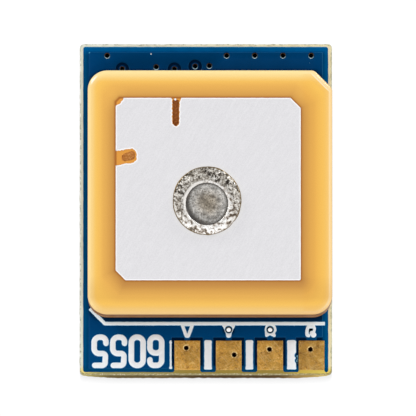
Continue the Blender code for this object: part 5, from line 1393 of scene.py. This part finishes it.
def solder_ring_mesh():
    """The ring of solder, lumpy and with an uneven foot, as rings of points from head to silver."""
    inner = HEAD_RADIUS + 0.005 * MM
    shape = bmesh.new()
    rows = []
    foot = patch_high.z - SILVER_RIM
    for number in range(SOLDER_RINGS + 1):
        share = number / SOLDER_RINGS
        row = []
        for step in range(SOLDER_STEPS):
            angle = 2 * math.pi * step / SOLDER_STEPS
            turn = Vector((math.cos(angle), math.sin(angle)))
            wander = 0.035 * MM * noise.fractal(Vector((*(turn * 2.4), 3.0)), 1.0, 2.0, 4)
            off = Vector((solder_middle.x - feed.x, solder_middle.y - feed.y))
            reach = off.dot(turn) + math.sqrt(off.dot(turn) ** 2 - off.length_squared + SOLDER_OUTER ** 2)
            outer = reach - 0.03 * MM + wander
            radius = inner + (outer - inner) * share
            profile = 0.22 * MM * (1 - share) ** 0.7 * (1 - share * 0.15) + 0.09 * MM * math.sin(math.pi * share) ** 0.6
            if share < 0.12:
                profile += 0.03 * MM * math.sin(math.pi * share / 0.12)
            point = Vector((feed.x, feed.y)) + turn * radius
            lumps = noise.fractal(Vector((point.x, point.y, 0)) / (0.26 * MM), 0.9, 2.0, 5)
            height = profile + 0.035 * MM * lumps * math.sin(math.pi * min(1.0, share * 1.05)) ** 0.5
            row.append(shape.verts.new((point.x, point.y, foot + max(0.0, height) if share < 1 else foot)))
        rows.append(row)
    rows.insert(0, [shape.verts.new((vert.co.x, vert.co.y, foot)) for vert in rows[0]])
    rows.append(rows[0])
    for upper, lower in zip(rows, rows[1:]):
        for index in range(SOLDER_STEPS):
            shape.faces.new((upper[index - 1], lower[index - 1], lower[index], upper[index]))
    bmesh.ops.recalc_face_normals(shape, faces=shape.faces)
    mesh = bpy.data.meshes.new("feed_solder")
    shape.to_mesh(mesh)
    shape.free()
    return mesh


solder_finish = finish("bright_solder", srgb(214, 211, 206), 0.22, 0.85)
solder_patches = grain(solder_finish, 0.20 * MM, 4.0, roughness=0.6)
solder_clumps = grain(solder_finish, 0.40 * MM, 2.0)
from_head, around = polar_distance(solder_finish, axis)
from_head = calculate(solder_finish, "SUBTRACT", from_head, HEAD_RADIUS / MM)
from_middle, ring_turn = polar_distance(solder_finish, (solder_middle.x, solder_middle.y, 0))
from_rim = calculate(solder_finish, "SUBTRACT", SOLDER_OUTER / MM - 0.02, from_middle)
# Painted light: by the angle round the pin, with some wander, the ring has a side of painted highlights and reflections
# and a side of painted dark reflections and pits
wavy = calculate(solder_finish, "MULTIPLY_ADD", calculate(solder_finish, "SUBTRACT", solder_clumps, 0.5), 0.30, around)
bright_by_head = mix(solder_finish, 1.0, ramp(solder_finish, from_head, [(0.16, 0.17), (0.36, 0.0)]),
                ramp(solder_finish, around, [(0.35, 0.0), (0.48, 1.0), (0.68, 1.0), (0.76, 0.0)]), "MULTIPLY")
wavy = calculate(solder_finish, "SUBTRACT", wavy, bright_by_head)
solder_shade_side = ramp(solder_finish, wavy, [(0.0, 0.65), (0.09, 0.45), (0.16, 0.05), (0.38, 0.0), (0.46, 0.45), (0.56, 0.9),
                                       (0.68, 0.86), (0.92, 0.9), (1.0, 0.7)])
off_lip = ramp(solder_finish, from_head, [(0.10, 0.0), (0.18, 1.0)])
solder_shade_side = mix(solder_finish, 1.0, solder_shade_side, off_lip, "MULTIPLY")
smooth_by_head = ramp(solder_finish, from_head, [(0.15, 0.07), (0.45, 0.0)])
bright_mottle = calculate(solder_finish, "ADD", solder_patches, smooth_by_head)
bright_mottle = calculate(solder_finish, "MULTIPLY_ADD", calculate(solder_finish, "SUBTRACT", solder_clumps, 0.5), 0.5,
                          bright_mottle)
solder_highlight_tone = ramp(solder_finish, bright_mottle, [(0.37, srgb(88, 76, 62)), (0.45, srgb(164, 151, 138)),
                                                  (0.52, srgb(216, 208, 200)), (0.60, srgb(254, 252, 249))])
flecks = grain(solder_finish, 0.115 * MM, 3.0, roughness=0.65)
flecks = calculate(solder_finish, "MULTIPLY_ADD", calculate(solder_finish, "SUBTRACT", solder_patches, 0.5), 0.8, flecks)
dark_patch = ramp(solder_finish, flecks, [(0.40, srgb(36, 34, 32)), (0.47, srgb(108, 103, 96)), (0.53, srgb(160, 154, 144)),
                                          (0.58, srgb(206, 201, 192)), (0.62, srgb(252, 250, 247))])
grey_patch = ramp(solder_finish, flecks, [(0.38, srgb(92, 86, 76)), (0.43, srgb(146, 139, 128)), (0.52, srgb(178, 171, 160)),
                                          (0.57, srgb(200, 193, 181)), (0.63, srgb(238, 234, 224))])
dark_reflection_side = ramp(solder_finish, wavy, [(0.0, 0.45), (0.04, 0.2), (0.50, 0.4), (0.56, 1.0), (0.72, 1.0), (0.76, 0.15), (0.85, 0.1),
                                        (0.89, 0.9), (0.94, 0.9), (1.0, 0.45)])
dark_reflection_side = mix(solder_finish, 1.0, dark_reflection_side, ramp(solder_finish, solder_clumps, [(0.44, 1.0), (0.56, 0.4)]), "MULTIPLY")
solder_shade_tone = mix(solder_finish, dark_reflection_side, grey_patch, dark_patch)
solder_tone = mix(solder_finish, solder_shade_side, solder_highlight_tone, solder_shade_tone)
# Painted highlight on the lip next to the head
lip_width = ramp(solder_finish, around, [(0.70, 1.0), (0.80, 0.68), (0.98, 0.68), (1.0, 0.8)])
lip_highlight = ramp(solder_finish, calculate(solder_finish, "MULTIPLY", from_head, lip_width), [
    (0.0, 0.1), (0.04, 0.9), (0.11, 0.9), (0.16, 0.0)])
lip_side = ramp(solder_finish, around, [(0.0, 0.95), (0.06, 0.6), (0.14, 0.25), (0.40, 0.2), (0.50, 0.7), (0.66, 0.35), (0.74, 0.5),
                                        (0.82, 1.0), (1.0, 1.0)])
lip_highlight = mix(solder_finish, 1.0, lip_highlight, lip_side, "MULTIPLY")
solder_tone = mix(solder_finish, lip_highlight, solder_tone, srgb(244, 240, 235))
specks = ramp(solder_finish, grain(solder_finish, 0.10 * MM, 3.0), [(0.38, 0.85), (0.45, 0.0)])
near_rim = ramp(solder_finish, from_rim, [(0.02, 1.0), (0.10, 0.9), (0.22, 0.0)])
solder_tone = mix(solder_finish, mix(solder_finish, 1.0, specks, near_rim, "MULTIPLY"), solder_tone, srgb(66, 56, 42))
# Black patches on part of the outer rim
dark_rim_patches = mix(solder_finish, 1.0, near_rim, ramp(solder_finish, ring_turn, [(0.78, 0.0), (0.84, 1.0), (0.97, 1.0), (1.0, 0.5)]),
                "MULTIPLY")
dark_rim_patches = mix(solder_finish, 1.0, dark_rim_patches, ramp(solder_finish, solder_patches, [(0.47, 0.95), (0.53, 0.0)]), "MULTIPLY")
solder_tone = mix(solder_finish, dark_rim_patches, solder_tone, srgb(34, 32, 30))
rim_line = ramp(solder_finish, from_rim, [(0.0, 0.95), (0.04, 0.9), (0.09, 0.0)])
solder_tone = mix(solder_finish, rim_line, solder_tone, srgb(118, 98, 60))
drive(solder_finish, "Base Color", solder_tone)
drive(solder_finish, "Metallic", calculate(solder_finish, "MULTIPLY_ADD", lip_highlight, -0.5, 0.85))
drive(solder_finish, "Roughness", ramp(solder_finish, solder_patches, [(0.35, 0.5), (0.65, 0.24)]))
bump(solder_finish, solder_patches, 0.06 * MM, 0.8)
fitted("feed_solder", solder_ring_mesh(), solder_finish, ["patch_solder"], smooth=80)


# Back solder mask
# The same blue film on the back, over tracks, ground copper and an island round every hole. It
# closes the small holes, and leaves the lands bare, where the parts are soldered.
BACK_FILM = LAMINATE_BOTTOM - FILM
TRACK_WIDTH = 0.16 * MM
WIDE_TRACK = 0.40 * MM
TRACK_GAP = 0.15 * MM
TRACK_SLOPE = 0.03 * MM
LAND_GAP = 0.12 * MM
TRACKS = (
    (TRACK_WIDTH, ((-5.75, 3.35), (-6.10, 3.35), (-6.35, 3.10), (-6.35, 0.90), (-6.15, 0.60))),
    (TRACK_WIDTH, ((-5.75, 3.75), (-6.45, 3.75), (-6.70, 3.95))),
    (TRACK_WIDTH, ((-2.45, 2.45), (-2.45, 0.35), (-2.95, -0.15), (-3.10, -0.15))),
    (TRACK_WIDTH, ((-4.45, 2.45), (-4.45, 2.30), (-4.60, 2.10))),
    (TRACK_WIDTH, ((-3.65, 2.45), (-3.65, 2.30), (-3.80, 2.10))),
    (0.28 * MM, ((-0.35, 4.15), (1.50, 4.15))),
    (TRACK_WIDTH, ((-0.35, 5.75), (-0.05, 5.75), (0.10, 5.60))),
    (TRACK_WIDTH, ((-0.35, 6.15), (1.05, 6.15))),
    (TRACK_WIDTH, ((0.30, 7.55), (0.30, 7.90), (0.55, 8.15), (2.05, 8.15), (3.10, 8.15), (3.35, 7.90), (3.35, 7.70))),
    (TRACK_WIDTH, ((3.70, 5.90), (4.40, 5.90))),
    (0.28 * MM, ((3.10, 4.00), (3.95, 4.20))),
    (0.28 * MM, ((2.80, 1.95), (2.80, 2.60), (2.45, 2.95), (2.45, 3.35))),
    (0.36 * MM, ((1.25, 0.75), (1.75, 1.05), (2.45, 1.05))),
    (TRACK_WIDTH, ((4.15, 1.30), (4.65, 1.30), (5.20, 1.85), (5.20, 2.00))),
    (TRACK_WIDTH, ((5.20, 3.20), (5.20, 3.45), (6.40, 3.45), (6.40, 3.20))),
    (WIDE_TRACK, ((-1.20, -8.59), (-1.20, -7.60), (-1.85, -6.95), (-1.85, -6.60))),
    (WIDE_TRACK, ((0.05, -6.75), (0.05, -7.40), (-0.55, -7.40))),
    (WIDE_TRACK, ((-1.85, -3.70), (-1.85, -3.10), (-2.30, -2.60))),
    (TRACK_WIDTH, ((1.745, -8.92), (1.745, -7.20), (1.30, -6.755), (1.30, -1.90), (-0.20, -1.90), (-1.65, -0.45),
                   (-1.65, 2.45))),
    (TRACK_WIDTH, ((3.905, -8.58), (3.905, -7.60), (3.30, -6.995), (1.95, -6.995), (1.65, -6.695), (1.65, -1.50),
                   (0.00, -1.50), (-1.25, -0.25), (-1.25, 2.45))),
    (TRACK_WIDTH, ((-5.45, -7.70), (-5.15, -8.00), (-5.15, -8.75), (-5.30, -8.90))),
    (TRACK_WIDTH, ((-3.05, -7.70), (-2.75, -8.00), (-2.75, -8.75), (-2.90, -8.90))),
    (TRACK_WIDTH, ((-6.75, -7.70), (-7.00, -7.45), (-7.00, -3.30), (-6.55, -2.85))),
    (TRACK_WIDTH, ((-4.35, -7.70), (-4.60, -7.45), (-4.60, -6.80), (-5.50, -6.80))),
    (TRACK_WIDTH, ((-3.55, -2.60), (-5.25, -2.50))),
    (WIDE_TRACK, ((4.55, -0.30), (4.55, 0.40), (4.10, 0.85))),
)
back_parts = {name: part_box(name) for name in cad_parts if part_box(name)[1].z < board_low.z + 0.001 * MM}


def end_lands(low, high, reach, beyond, wider=0.03 * MM):
    """The two lands under a part's ends, as (left, bottom, right, top)."""
    if high.x - low.x > high.y - low.y:
        return [(low.x - beyond, low.y - wider, low.x + reach, high.y + wider),
                (high.x - reach, low.y - wider, high.x + beyond, high.y + wider)]
    return [(low.x - wider, low.y - beyond, high.x + wider, low.y + reach),
            (low.x - wider, high.y - reach, high.x + wider, high.y + beyond)]


lands = []
chip_names = [name for name in back_parts if name.startswith(("capacitor", "inductor", "resistor", "bulk"))]
for name in chip_names:
    low, high = back_parts[name]
    tall = name.startswith("bulk")
    lands += end_lands(low, high, (0.55 if tall else 0.28) * MM, (0.30 if tall else 0.20) * MM)
for name in ("power_light_base", "fix_light_base"):
    lands += end_lands(*back_parts[name], 0.35 * MM, 0.25 * MM)
low, high = back_parts["clock_crystal_base"]
lands += end_lands(low, high, 0.9 * MM, 0.20 * MM, 0.05 * MM)
for name, land, beyond in (("oscillator_base", 0.75 * MM, 0.16 * MM), ("saw_filter", 0.40 * MM, 0.12 * MM)):
    low, high = back_parts[name]
    for x in (low.x - beyond, high.x + beyond - land):
        for y in (low.y - beyond, high.y + beyond - 0.8 * land):
            lands.append((x, y, x + land, y + 0.8 * land))
for name in (f"regulator_lead_{number}" for number in range(1, 6)):
    low, high = back_parts[name]
    lands.append((low.x - 0.10 * MM, low.y - 0.15 * MM, high.x + 0.10 * MM, high.y + 0.15 * MM))
low, high = back_parts["cell_tab_outer"]
lands.append((low.x - 0.15 * MM, low.y - 0.25 * MM, high.x + 0.15 * MM, low.y + 0.55 * MM))
low, high = back_parts["cell_tab_inner"]
lands.append((low.x - 0.15 * MM, high.y - 0.55 * MM, high.x + 0.15 * MM, high.y + 0.25 * MM))
CHIP_LANDS = 10
CHIP_LAND_PITCH = 0.40 * MM
chip_low, chip_high = back_parts["receiver_chip"]
chip = (chip_low + chip_high) / 2
for number in range(CHIP_LANDS):
    along = (number - (CHIP_LANDS - 1) / 2) * CHIP_LAND_PITCH
    for edge, outward in ((chip_low, -1), (chip_high, 1)):
        x = edge.x + 0.04 * outward * MM
        lands.append((x - 0.22 * MM, chip.y + along - 0.11 * MM, x + 0.22 * MM, chip.y + along + 0.11 * MM))
        y = edge.y + 0.04 * outward * MM
        lands.append((chip.x + along - 0.11 * MM, y - 0.22 * MM, chip.x + along + 0.11 * MM, y + 0.22 * MM))
amplifier_low, amplifier_high = back_parts["low_noise_amplifier"]
for number in (-1, 0, 1):
    x = (amplifier_low.x + amplifier_high.x) / 2 + number * 0.5 * MM
    for y in (amplifier_low.y, amplifier_high.y):
        lands.append((x - 0.12 * MM, y - 0.20 * MM, x + 0.12 * MM, y + 0.20 * MM))

back_outline = rounded_rectangle(board_low.x + MASK_FROM_LEFT, board_low.y + MASK_FROM_BOTTOM,
                                 board_high.x - MASK_FROM_RIGHT, board_high.y - MASK_FROM_TOP, MASK_CORNER)
open_vias = label_vias[:2]
back_openings = [circle(centre, VIA_HOLE) for centre in open_vias] + [circle(feed, FEED_HOLE, 40)]
fitted("back_mask", raised("back_mask", back_outline, [(0.0, LAMINATE_BOTTOM + 0.002 * MM), (0.0, BACK_FILM + 0.3 * FILM),
                                                       (0.02 * MM, BACK_FILM)], back_openings), film_finish)
track_levels = [(0.0, BACK_FILM + 0.004 * MM), (0.0, BACK_FILM), (0.3 * TRACK_SLOPE, BACK_FILM - 0.3 * COPPER),
                (0.7 * TRACK_SLOPE, BACK_FILM - 0.85 * COPPER), (TRACK_SLOPE, board_low.z)]
clearances = []
for number, (width, path) in enumerate(TRACKS, start=1):
    line = [(x * MM, y * MM) for x, y in path]
    name = f"back_track_{number}"
    fitted(name, raised(name, stroke_outline(line, width), track_levels), pour_finish)
    clearances.append(stroke_outline(line, width + 2 * TRACK_GAP))
clearances += [rounded_rectangle(x0 - LAND_GAP, y0 - LAND_GAP, x1 + LAND_GAP, y1 + LAND_GAP, 0.05 * MM)
               for x0, y0, x1, y1 in lands]
clearances.append(circle(feed, 1.45 * MM, 48))
clearances += [circle(centre, VIA_MOAT, 24) for centre in moated + pad_vias]
clearances += [circle(centre, VIA_HOLE, 24) for centre in open_vias]
pour_back = rounded_rectangle(board_low.x + POUR_FROM_LEFT, board_low.y + POUR_FROM_BOTTOM,
                              board_high.x - POUR_FROM_RIGHT, board_high.y - POUR_FROM_TOP, 0.05 * MM)
pour_blank = raised("back_copper_pour", pour_back, [(0.0, BACK_FILM + 0.003 * MM), (0.0, board_low.z + 0.3 * COPPER),
                                                    (0.03 * MM, board_low.z)])
pour_blank.materials.append(pour_finish)
gaps = bmesh.new()
for outline in clearances:
    cutter = raised("gap", outline, [(0.0, BACK_FILM + 0.05 * MM), (0.0, board_low.z - 0.05 * MM)])
    gaps.from_mesh(cutter)
    bpy.data.meshes.remove(cutter)
gap_mesh = bpy.data.meshes.new("gaps")
gaps.to_mesh(gap_mesh)
gaps.free()
blank = bpy.data.objects.new("pour_blank", pour_blank)
gap_cutter = bpy.data.objects.new("gap_cutter", gap_mesh)
for obj in (blank, gap_cutter):
    bpy.context.scene.collection.objects.link(obj)
etched = blank.modifiers.new("etched", "BOOLEAN")
etched.operation = "DIFFERENCE"
etched.solver = "EXACT"
etched.use_self = True
etched.object = gap_cutter
etched_mesh = bpy.data.meshes.new_from_object(blank.evaluated_get(bpy.context.evaluated_depsgraph_get()))
for obj in (blank, gap_cutter):
    bpy.data.objects.remove(obj)
etched_mesh.name = "back_copper_pour"
fitted("back_copper_pour", etched_mesh, pour_finish, smooth=25)

tent_profile = [(0.0, 0.004), (0.06, 0.0), (0.115, -0.010), (0.16, -0.030), (0.19, -0.036), (0.27, -0.032),
                (0.32, 0.0), (0.32, 0.003)]
tent_shape = bmesh.new()
tent_rows = []
for radius, height in tent_profile:
    tent_rows.append([tent_shape.verts.new((x, y, height * MM)) for x, y in circle((0, 0), max(radius, 0.01) * MM)])
for lower, upper in zip(tent_rows, tent_rows[1:]):
    for index in range(VIA_SIDES):
        tent_shape.faces.new((lower[index], lower[index - 1], upper[index - 1], upper[index]))
tent_shape.faces.new(tent_rows[0])
tent_mesh = bpy.data.meshes.new("tent")
tent_shape.to_mesh(tent_mesh)
tent_shape.free()
tent_object = bpy.data.objects.new("tent", tent_mesh)

copy_tree, given, result = new_tree("copies", {"Shape": "Object", "Turn": "Float", "Finish": "Material"})
shape_in = step_node(copy_tree, "ObjectInfo", {"Object": given.outputs["Shape"]})
spin = copy_tree.nodes.new("ShaderNodeCombineXYZ")
copy_tree.links.new(given.outputs["Turn"], spin.inputs["Z"])
copies = step_node(copy_tree, "InstanceOnPoints", {
    "Points": given.outputs["Geometry"], "Instance": shape_in.outputs["Geometry"], "Rotation": spin.outputs[0]})
real = step_node(copy_tree, "RealizeInstances", {"Geometry": copies.outputs[0]})
painted = step_node(copy_tree, "SetMaterial", {"Geometry": real.outputs[0], "Material": given.outputs["Finish"]})
copy_tree.links.new(painted.outputs[0], result.inputs["Geometry"])
tented = [(*centre, BACK_FILM) for centre in ground_vias + signal_vias + label_vias[2:] + pad_vias]
tents = grow("closed_holes", tented, copy_tree, {"Shape": tent_object, "Turn": 0.0, "Finish": pour_finish})
fitted("closed_holes", tents, pour_finish, smooth=60)


# Lands and joints on the back
# Bare copper lands with a thin coat of solder, and the smooth hollow fillets that ran up the
# ends of each part in the oven.
LAND_FACE = board_low.z - 0.004 * MM

reflow_finish = finish("reflowed_solder", srgb(206, 205, 200), 0.24, 1.0)
reflow_grain = grain(reflow_finish, 0.20 * MM, 4.0)
drive(reflow_finish, "Roughness", ramp(reflow_finish, reflow_grain, [(0.3, 0.16), (0.7, 0.34)]))
drive(reflow_finish, "Base Color", ramp(reflow_finish, reflow_grain, [(0.3, srgb(188, 186, 180)), (0.7, srgb(218, 217, 213))]))
bump(reflow_finish, reflow_grain, 0.006 * MM, 0.5)
land_shape = bmesh.new()
for number, (x0, y0, x1, y1) in enumerate(lands):
    outline = rounded_rectangle(x0, y0, x1, y1, min(0.06 * MM, (x1 - x0) / 3, (y1 - y0) / 3), 30.0)
    face = LAND_FACE - (number % 5) * 0.0002 * MM
    one = raised("land", outline, [(0.0, LAMINATE_BOTTOM + 0.002 * MM), (0.0, face + 0.012 * MM), (0.02 * MM, face)])
    land_shape.from_mesh(one)
    bpy.data.meshes.remove(one)
land_mesh = bpy.data.meshes.new("back_lands")
land_shape.to_mesh(land_mesh)
land_shape.free()
fitted("back_lands", land_mesh, reflow_finish, smooth=50)
feed_land = raised("feed_land", circle(feed, 1.22 * MM, 64), [
    (0.0, LAMINATE_BOTTOM + 0.002 * MM), (0.0, LAND_FACE + 0.012 * MM), (0.02 * MM, LAND_FACE)], [circle(feed, FEED_HOLE, 40)])
fitted("feed_land", feed_land, reflow_finish, smooth=50)


# Chip parts
# Small capacitors, inductors and resistors: fired ceramic blocks with tinned metal at both ends.
# Each lies across two lands and is held by a fillet of solder at either end.
def rounded_block(length, width, low, high, radius, segments=3):
    """A block centred over the origin with rounded edges, as a mesh."""
    shape = bmesh.new()
    bmesh.ops.create_cube(shape, size=1.0, matrix=Matrix.Translation((0, 0, (low + high) / 2))
                          @ Matrix.Diagonal((length, width, high - low, 1)))
    if radius > 0:
        bmesh.ops.bevel(shape, geom=shape.edges[:], offset=radius, segments=segments, affect="EDGES", profile=0.5)
    mesh = bpy.data.meshes.new("block")
    shape.to_mesh(mesh)
    shape.free()
    return mesh


def moved_mesh(mesh, offset):
    mesh.transform(Matrix.Translation(offset))
    return mesh


def joined(name, meshes):
    shape = bmesh.new()
    for mesh in meshes:
        shape.from_mesh(mesh)
        bpy.data.meshes.remove(mesh)
    whole = bpy.data.meshes.new(name)
    shape.to_mesh(whole)
    shape.free()
    return whole


def fillet_mesh(reach, width, rise, foot):
    """Hollow fillet of solder that leans on the plane x = 0 and runs out towards +X."""
    shape = bmesh.new()
    steps = 8
    rows = []
    for number in range(steps + 1):
        angle = math.pi / 2 * number / steps
        x = reach * (1 - math.cos(angle)) if number else 0.0
        drop = rise * (1 - math.sin(angle))
        rows.append((x, foot - drop))
    profile = [(0.0, foot + 0.004 * MM), *[(x, z) for x, z in rows], (reach, foot + 0.004 * MM)]
    for side in (-1, 1):
        shape.faces.new([shape.verts.new((x, side * width / 2, z)) for x, z in profile])
    shape.verts.ensure_lookup_table()
    count = len(profile)
    for index in range(count):
        following = (index + 1) % count
        shape.faces.new([shape.verts[i] for i in (index, following, count + following, count + index)])
    bmesh.ops.recalc_face_normals(shape, faces=shape.faces)
    mesh = bpy.data.meshes.new("fillet")
    shape.to_mesh(mesh)
    shape.free()
    return mesh


capacitor_finish = finish("capacitor_ceramic", srgb(178, 140, 102), 0.45)
inductor_finish = finish("inductor_ceramic", srgb(196, 200, 204), 0.35)
resistor_finish = finish("resistor_film", srgb(28, 28, 30), 0.35)
end_finish = finish("tinned_end", srgb(204, 203, 200), 0.35, 1.0)
for material, low_tone, high_tone in (
    (capacitor_finish, srgb(166, 128, 92), srgb(188, 150, 112)),
    (inductor_finish, srgb(182, 188, 194), srgb(206, 209, 212)),
    (resistor_finish, srgb(22, 22, 24), srgb(38, 38, 40)),
    (end_finish, srgb(186, 184, 180), srgb(214, 213, 210)),
):
    tone = grain(material, 0.12 * MM, 4.0)
    drive(material, "Base Color", ramp(material, tone, [(0.3, low_tone), (0.7, high_tone)]))
    bump(material, tone, 0.004 * MM, 0.6)

CHIP_KINDS = (
    ("capacitor", capacitor_finish, 0.25 * MM, 0.03 * MM, "capacitor"),
    ("inductor", inductor_finish, 0.22 * MM, 0.03 * MM, "inductor"),
    ("resistor", resistor_finish, 0.20 * MM, 0.012 * MM, "resistor"),
    ("bulk_capacitor", capacitor_finish, 0.50 * MM, 0.06 * MM, "capacitor"),
)
for kind, body_finish, end, rounding, slot in CHIP_KINDS:
    names = [name for name in chip_names if name.rsplit("_", 1)[0] == kind]
    low, high = back_parts[names[0]]
    length = max(high.x - low.x, high.y - low.y)
    width = min(high.x - low.x, high.y - low.y)
    height = high.z - low.z
    thin = 0.015 * MM
    body = rounded_block(length - end, width - 2 * thin, -height + thin, -thin, rounding)
    ends = [moved_mesh(rounded_block(end, width, -height, 0.0, rounding), (side * (length - end) / 2, 0, 0))
            for side in (-1, 1)]
    rise = min(0.6 * height, 0.55 * MM)
    fillets = []
    for side in (-1, 1):
        one = fillet_mesh(0.20 * MM if width < 1 * MM else 0.28 * MM, width - 0.04 * MM, rise, LAND_FACE - high.z)
        if side < 0:
            one.transform(Matrix.Rotation(math.pi, 4, "Z"))
        fillets.append(moved_mesh(one, (side * (length / 2 - 0.004 * MM), 0, 0)))
    shapes = (("bodies", body, body_finish, slot), ("ends", joined("ends", ends), end_finish, "solder"),
              ("fillets", joined("fillets", fillets), reflow_finish, "solder"))
    for label, mesh, material, piece_slot in shapes:
        pattern = bpy.data.objects.new(label, mesh)
        parts_made = []
        for turn in (0.0, math.pi / 2):
            spots = []
            for name in names:
                low, high = back_parts[name]
                lies_turned = high.y - low.y > high.x - low.x
                if lies_turned == (turn > 0):
                    spots.append(((low.x + high.x) / 2, (low.y + high.y) / 2, high.z))
            if spots:
                parts_made.append(grow(label, spots, copy_tree, {"Shape": pattern, "Turn": turn, "Finish": material}))
        whole = joined(f"{kind}_{label}", parts_made)
        bpy.data.objects.remove(pattern)
        fitted(f"{kind}_{label}", whole, material, names if label != "fillets" else (), smooth=50)


# Packages on the back
# Epoxy-moulded chips, ceramic packages with welded lids, a stainless backup cell between its
# spot-welded tabs, and two lights with clear lenses. Their solids have the right shapes already.
def dress(nodes, material):
    """Give CAD nodes a material, and leave their shapes alone."""
    for name in nodes:
        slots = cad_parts[name].material_slots
        for index in range(len(slots)):
            slots[index].material = material


moulding_finish = finish("moulded_epoxy", srgb(34, 34, 36), 0.55)
moulding_grain = grain(moulding_finish, 0.04 * MM, 3.0)
moulding_tone = ramp(moulding_finish, moulding_grain, [(0.3, srgb(30, 30, 32)), (0.7, srgb(46, 46, 48))])
chip_inside = edge_distance(moulding_finish, chip_low, chip_high, 0.0)
bump(moulding_finish, moulding_grain, 0.006 * MM, 0.7)
drive(moulding_finish, "Base Color", moulding_tone)
dress(["receiver_chip", "low_noise_amplifier", "regulator_body"], moulding_finish)
package_finish = finish("package_ceramic", srgb(92, 78, 70), 0.5)
package_grain = grain(package_finish, 0.10 * MM, 3.0)
drive(package_finish, "Base Color", ramp(package_finish, package_grain, [(0.3, srgb(84, 70, 62)), (0.7, srgb(104, 90, 80))]))
bump(package_finish, package_grain, 0.005 * MM, 0.5)
dress(["oscillator_base", "clock_crystal_base", "saw_filter"], package_finish)
light_base_finish = finish("light_base", srgb(228, 226, 218), 0.5)
dress(["power_light_base", "fix_light_base"], light_base_finish)
steel_finish = finish("brushed_steel", srgb(196, 195, 192), 0.30, 1.0)
brushed = grain(steel_finish, 0.05 * MM, 4.0, place_in(steel_finish, (1.0, 0.05, 1.0), math.radians(8)))
drive(steel_finish, "Roughness", ramp(steel_finish, brushed, [(0.3, 0.22), (0.7, 0.40)]))
bump(steel_finish, brushed, 0.003 * MM, 0.5)
dress(["oscillator_lid", "clock_crystal_lid", "cell_can", "cell_cap", "cell_tab_inner", "cell_tab_outer"], steel_finish)
dress([f"regulator_lead_{number}" for number in range(1, 6)], end_finish)
dress(["board_solder"], reflow_finish)
seal_finish = finish("nylon_seal", srgb(60, 62, 64), 0.6)
dress(["cell_seal"], seal_finish)
lens_finish = finish("clear_lens", srgb(240, 238, 226), 0.12, Transmission_Weight=0.6, IOR=1.5)
dress(["power_light_lens", "fix_light_lens"], lens_finish)
tape_finish = finish("acrylic_tape", srgb(216, 212, 200), 0.6)
dress(["adhesive_pad"], tape_finish)
dress(["ground_electrode"], silver_finish)
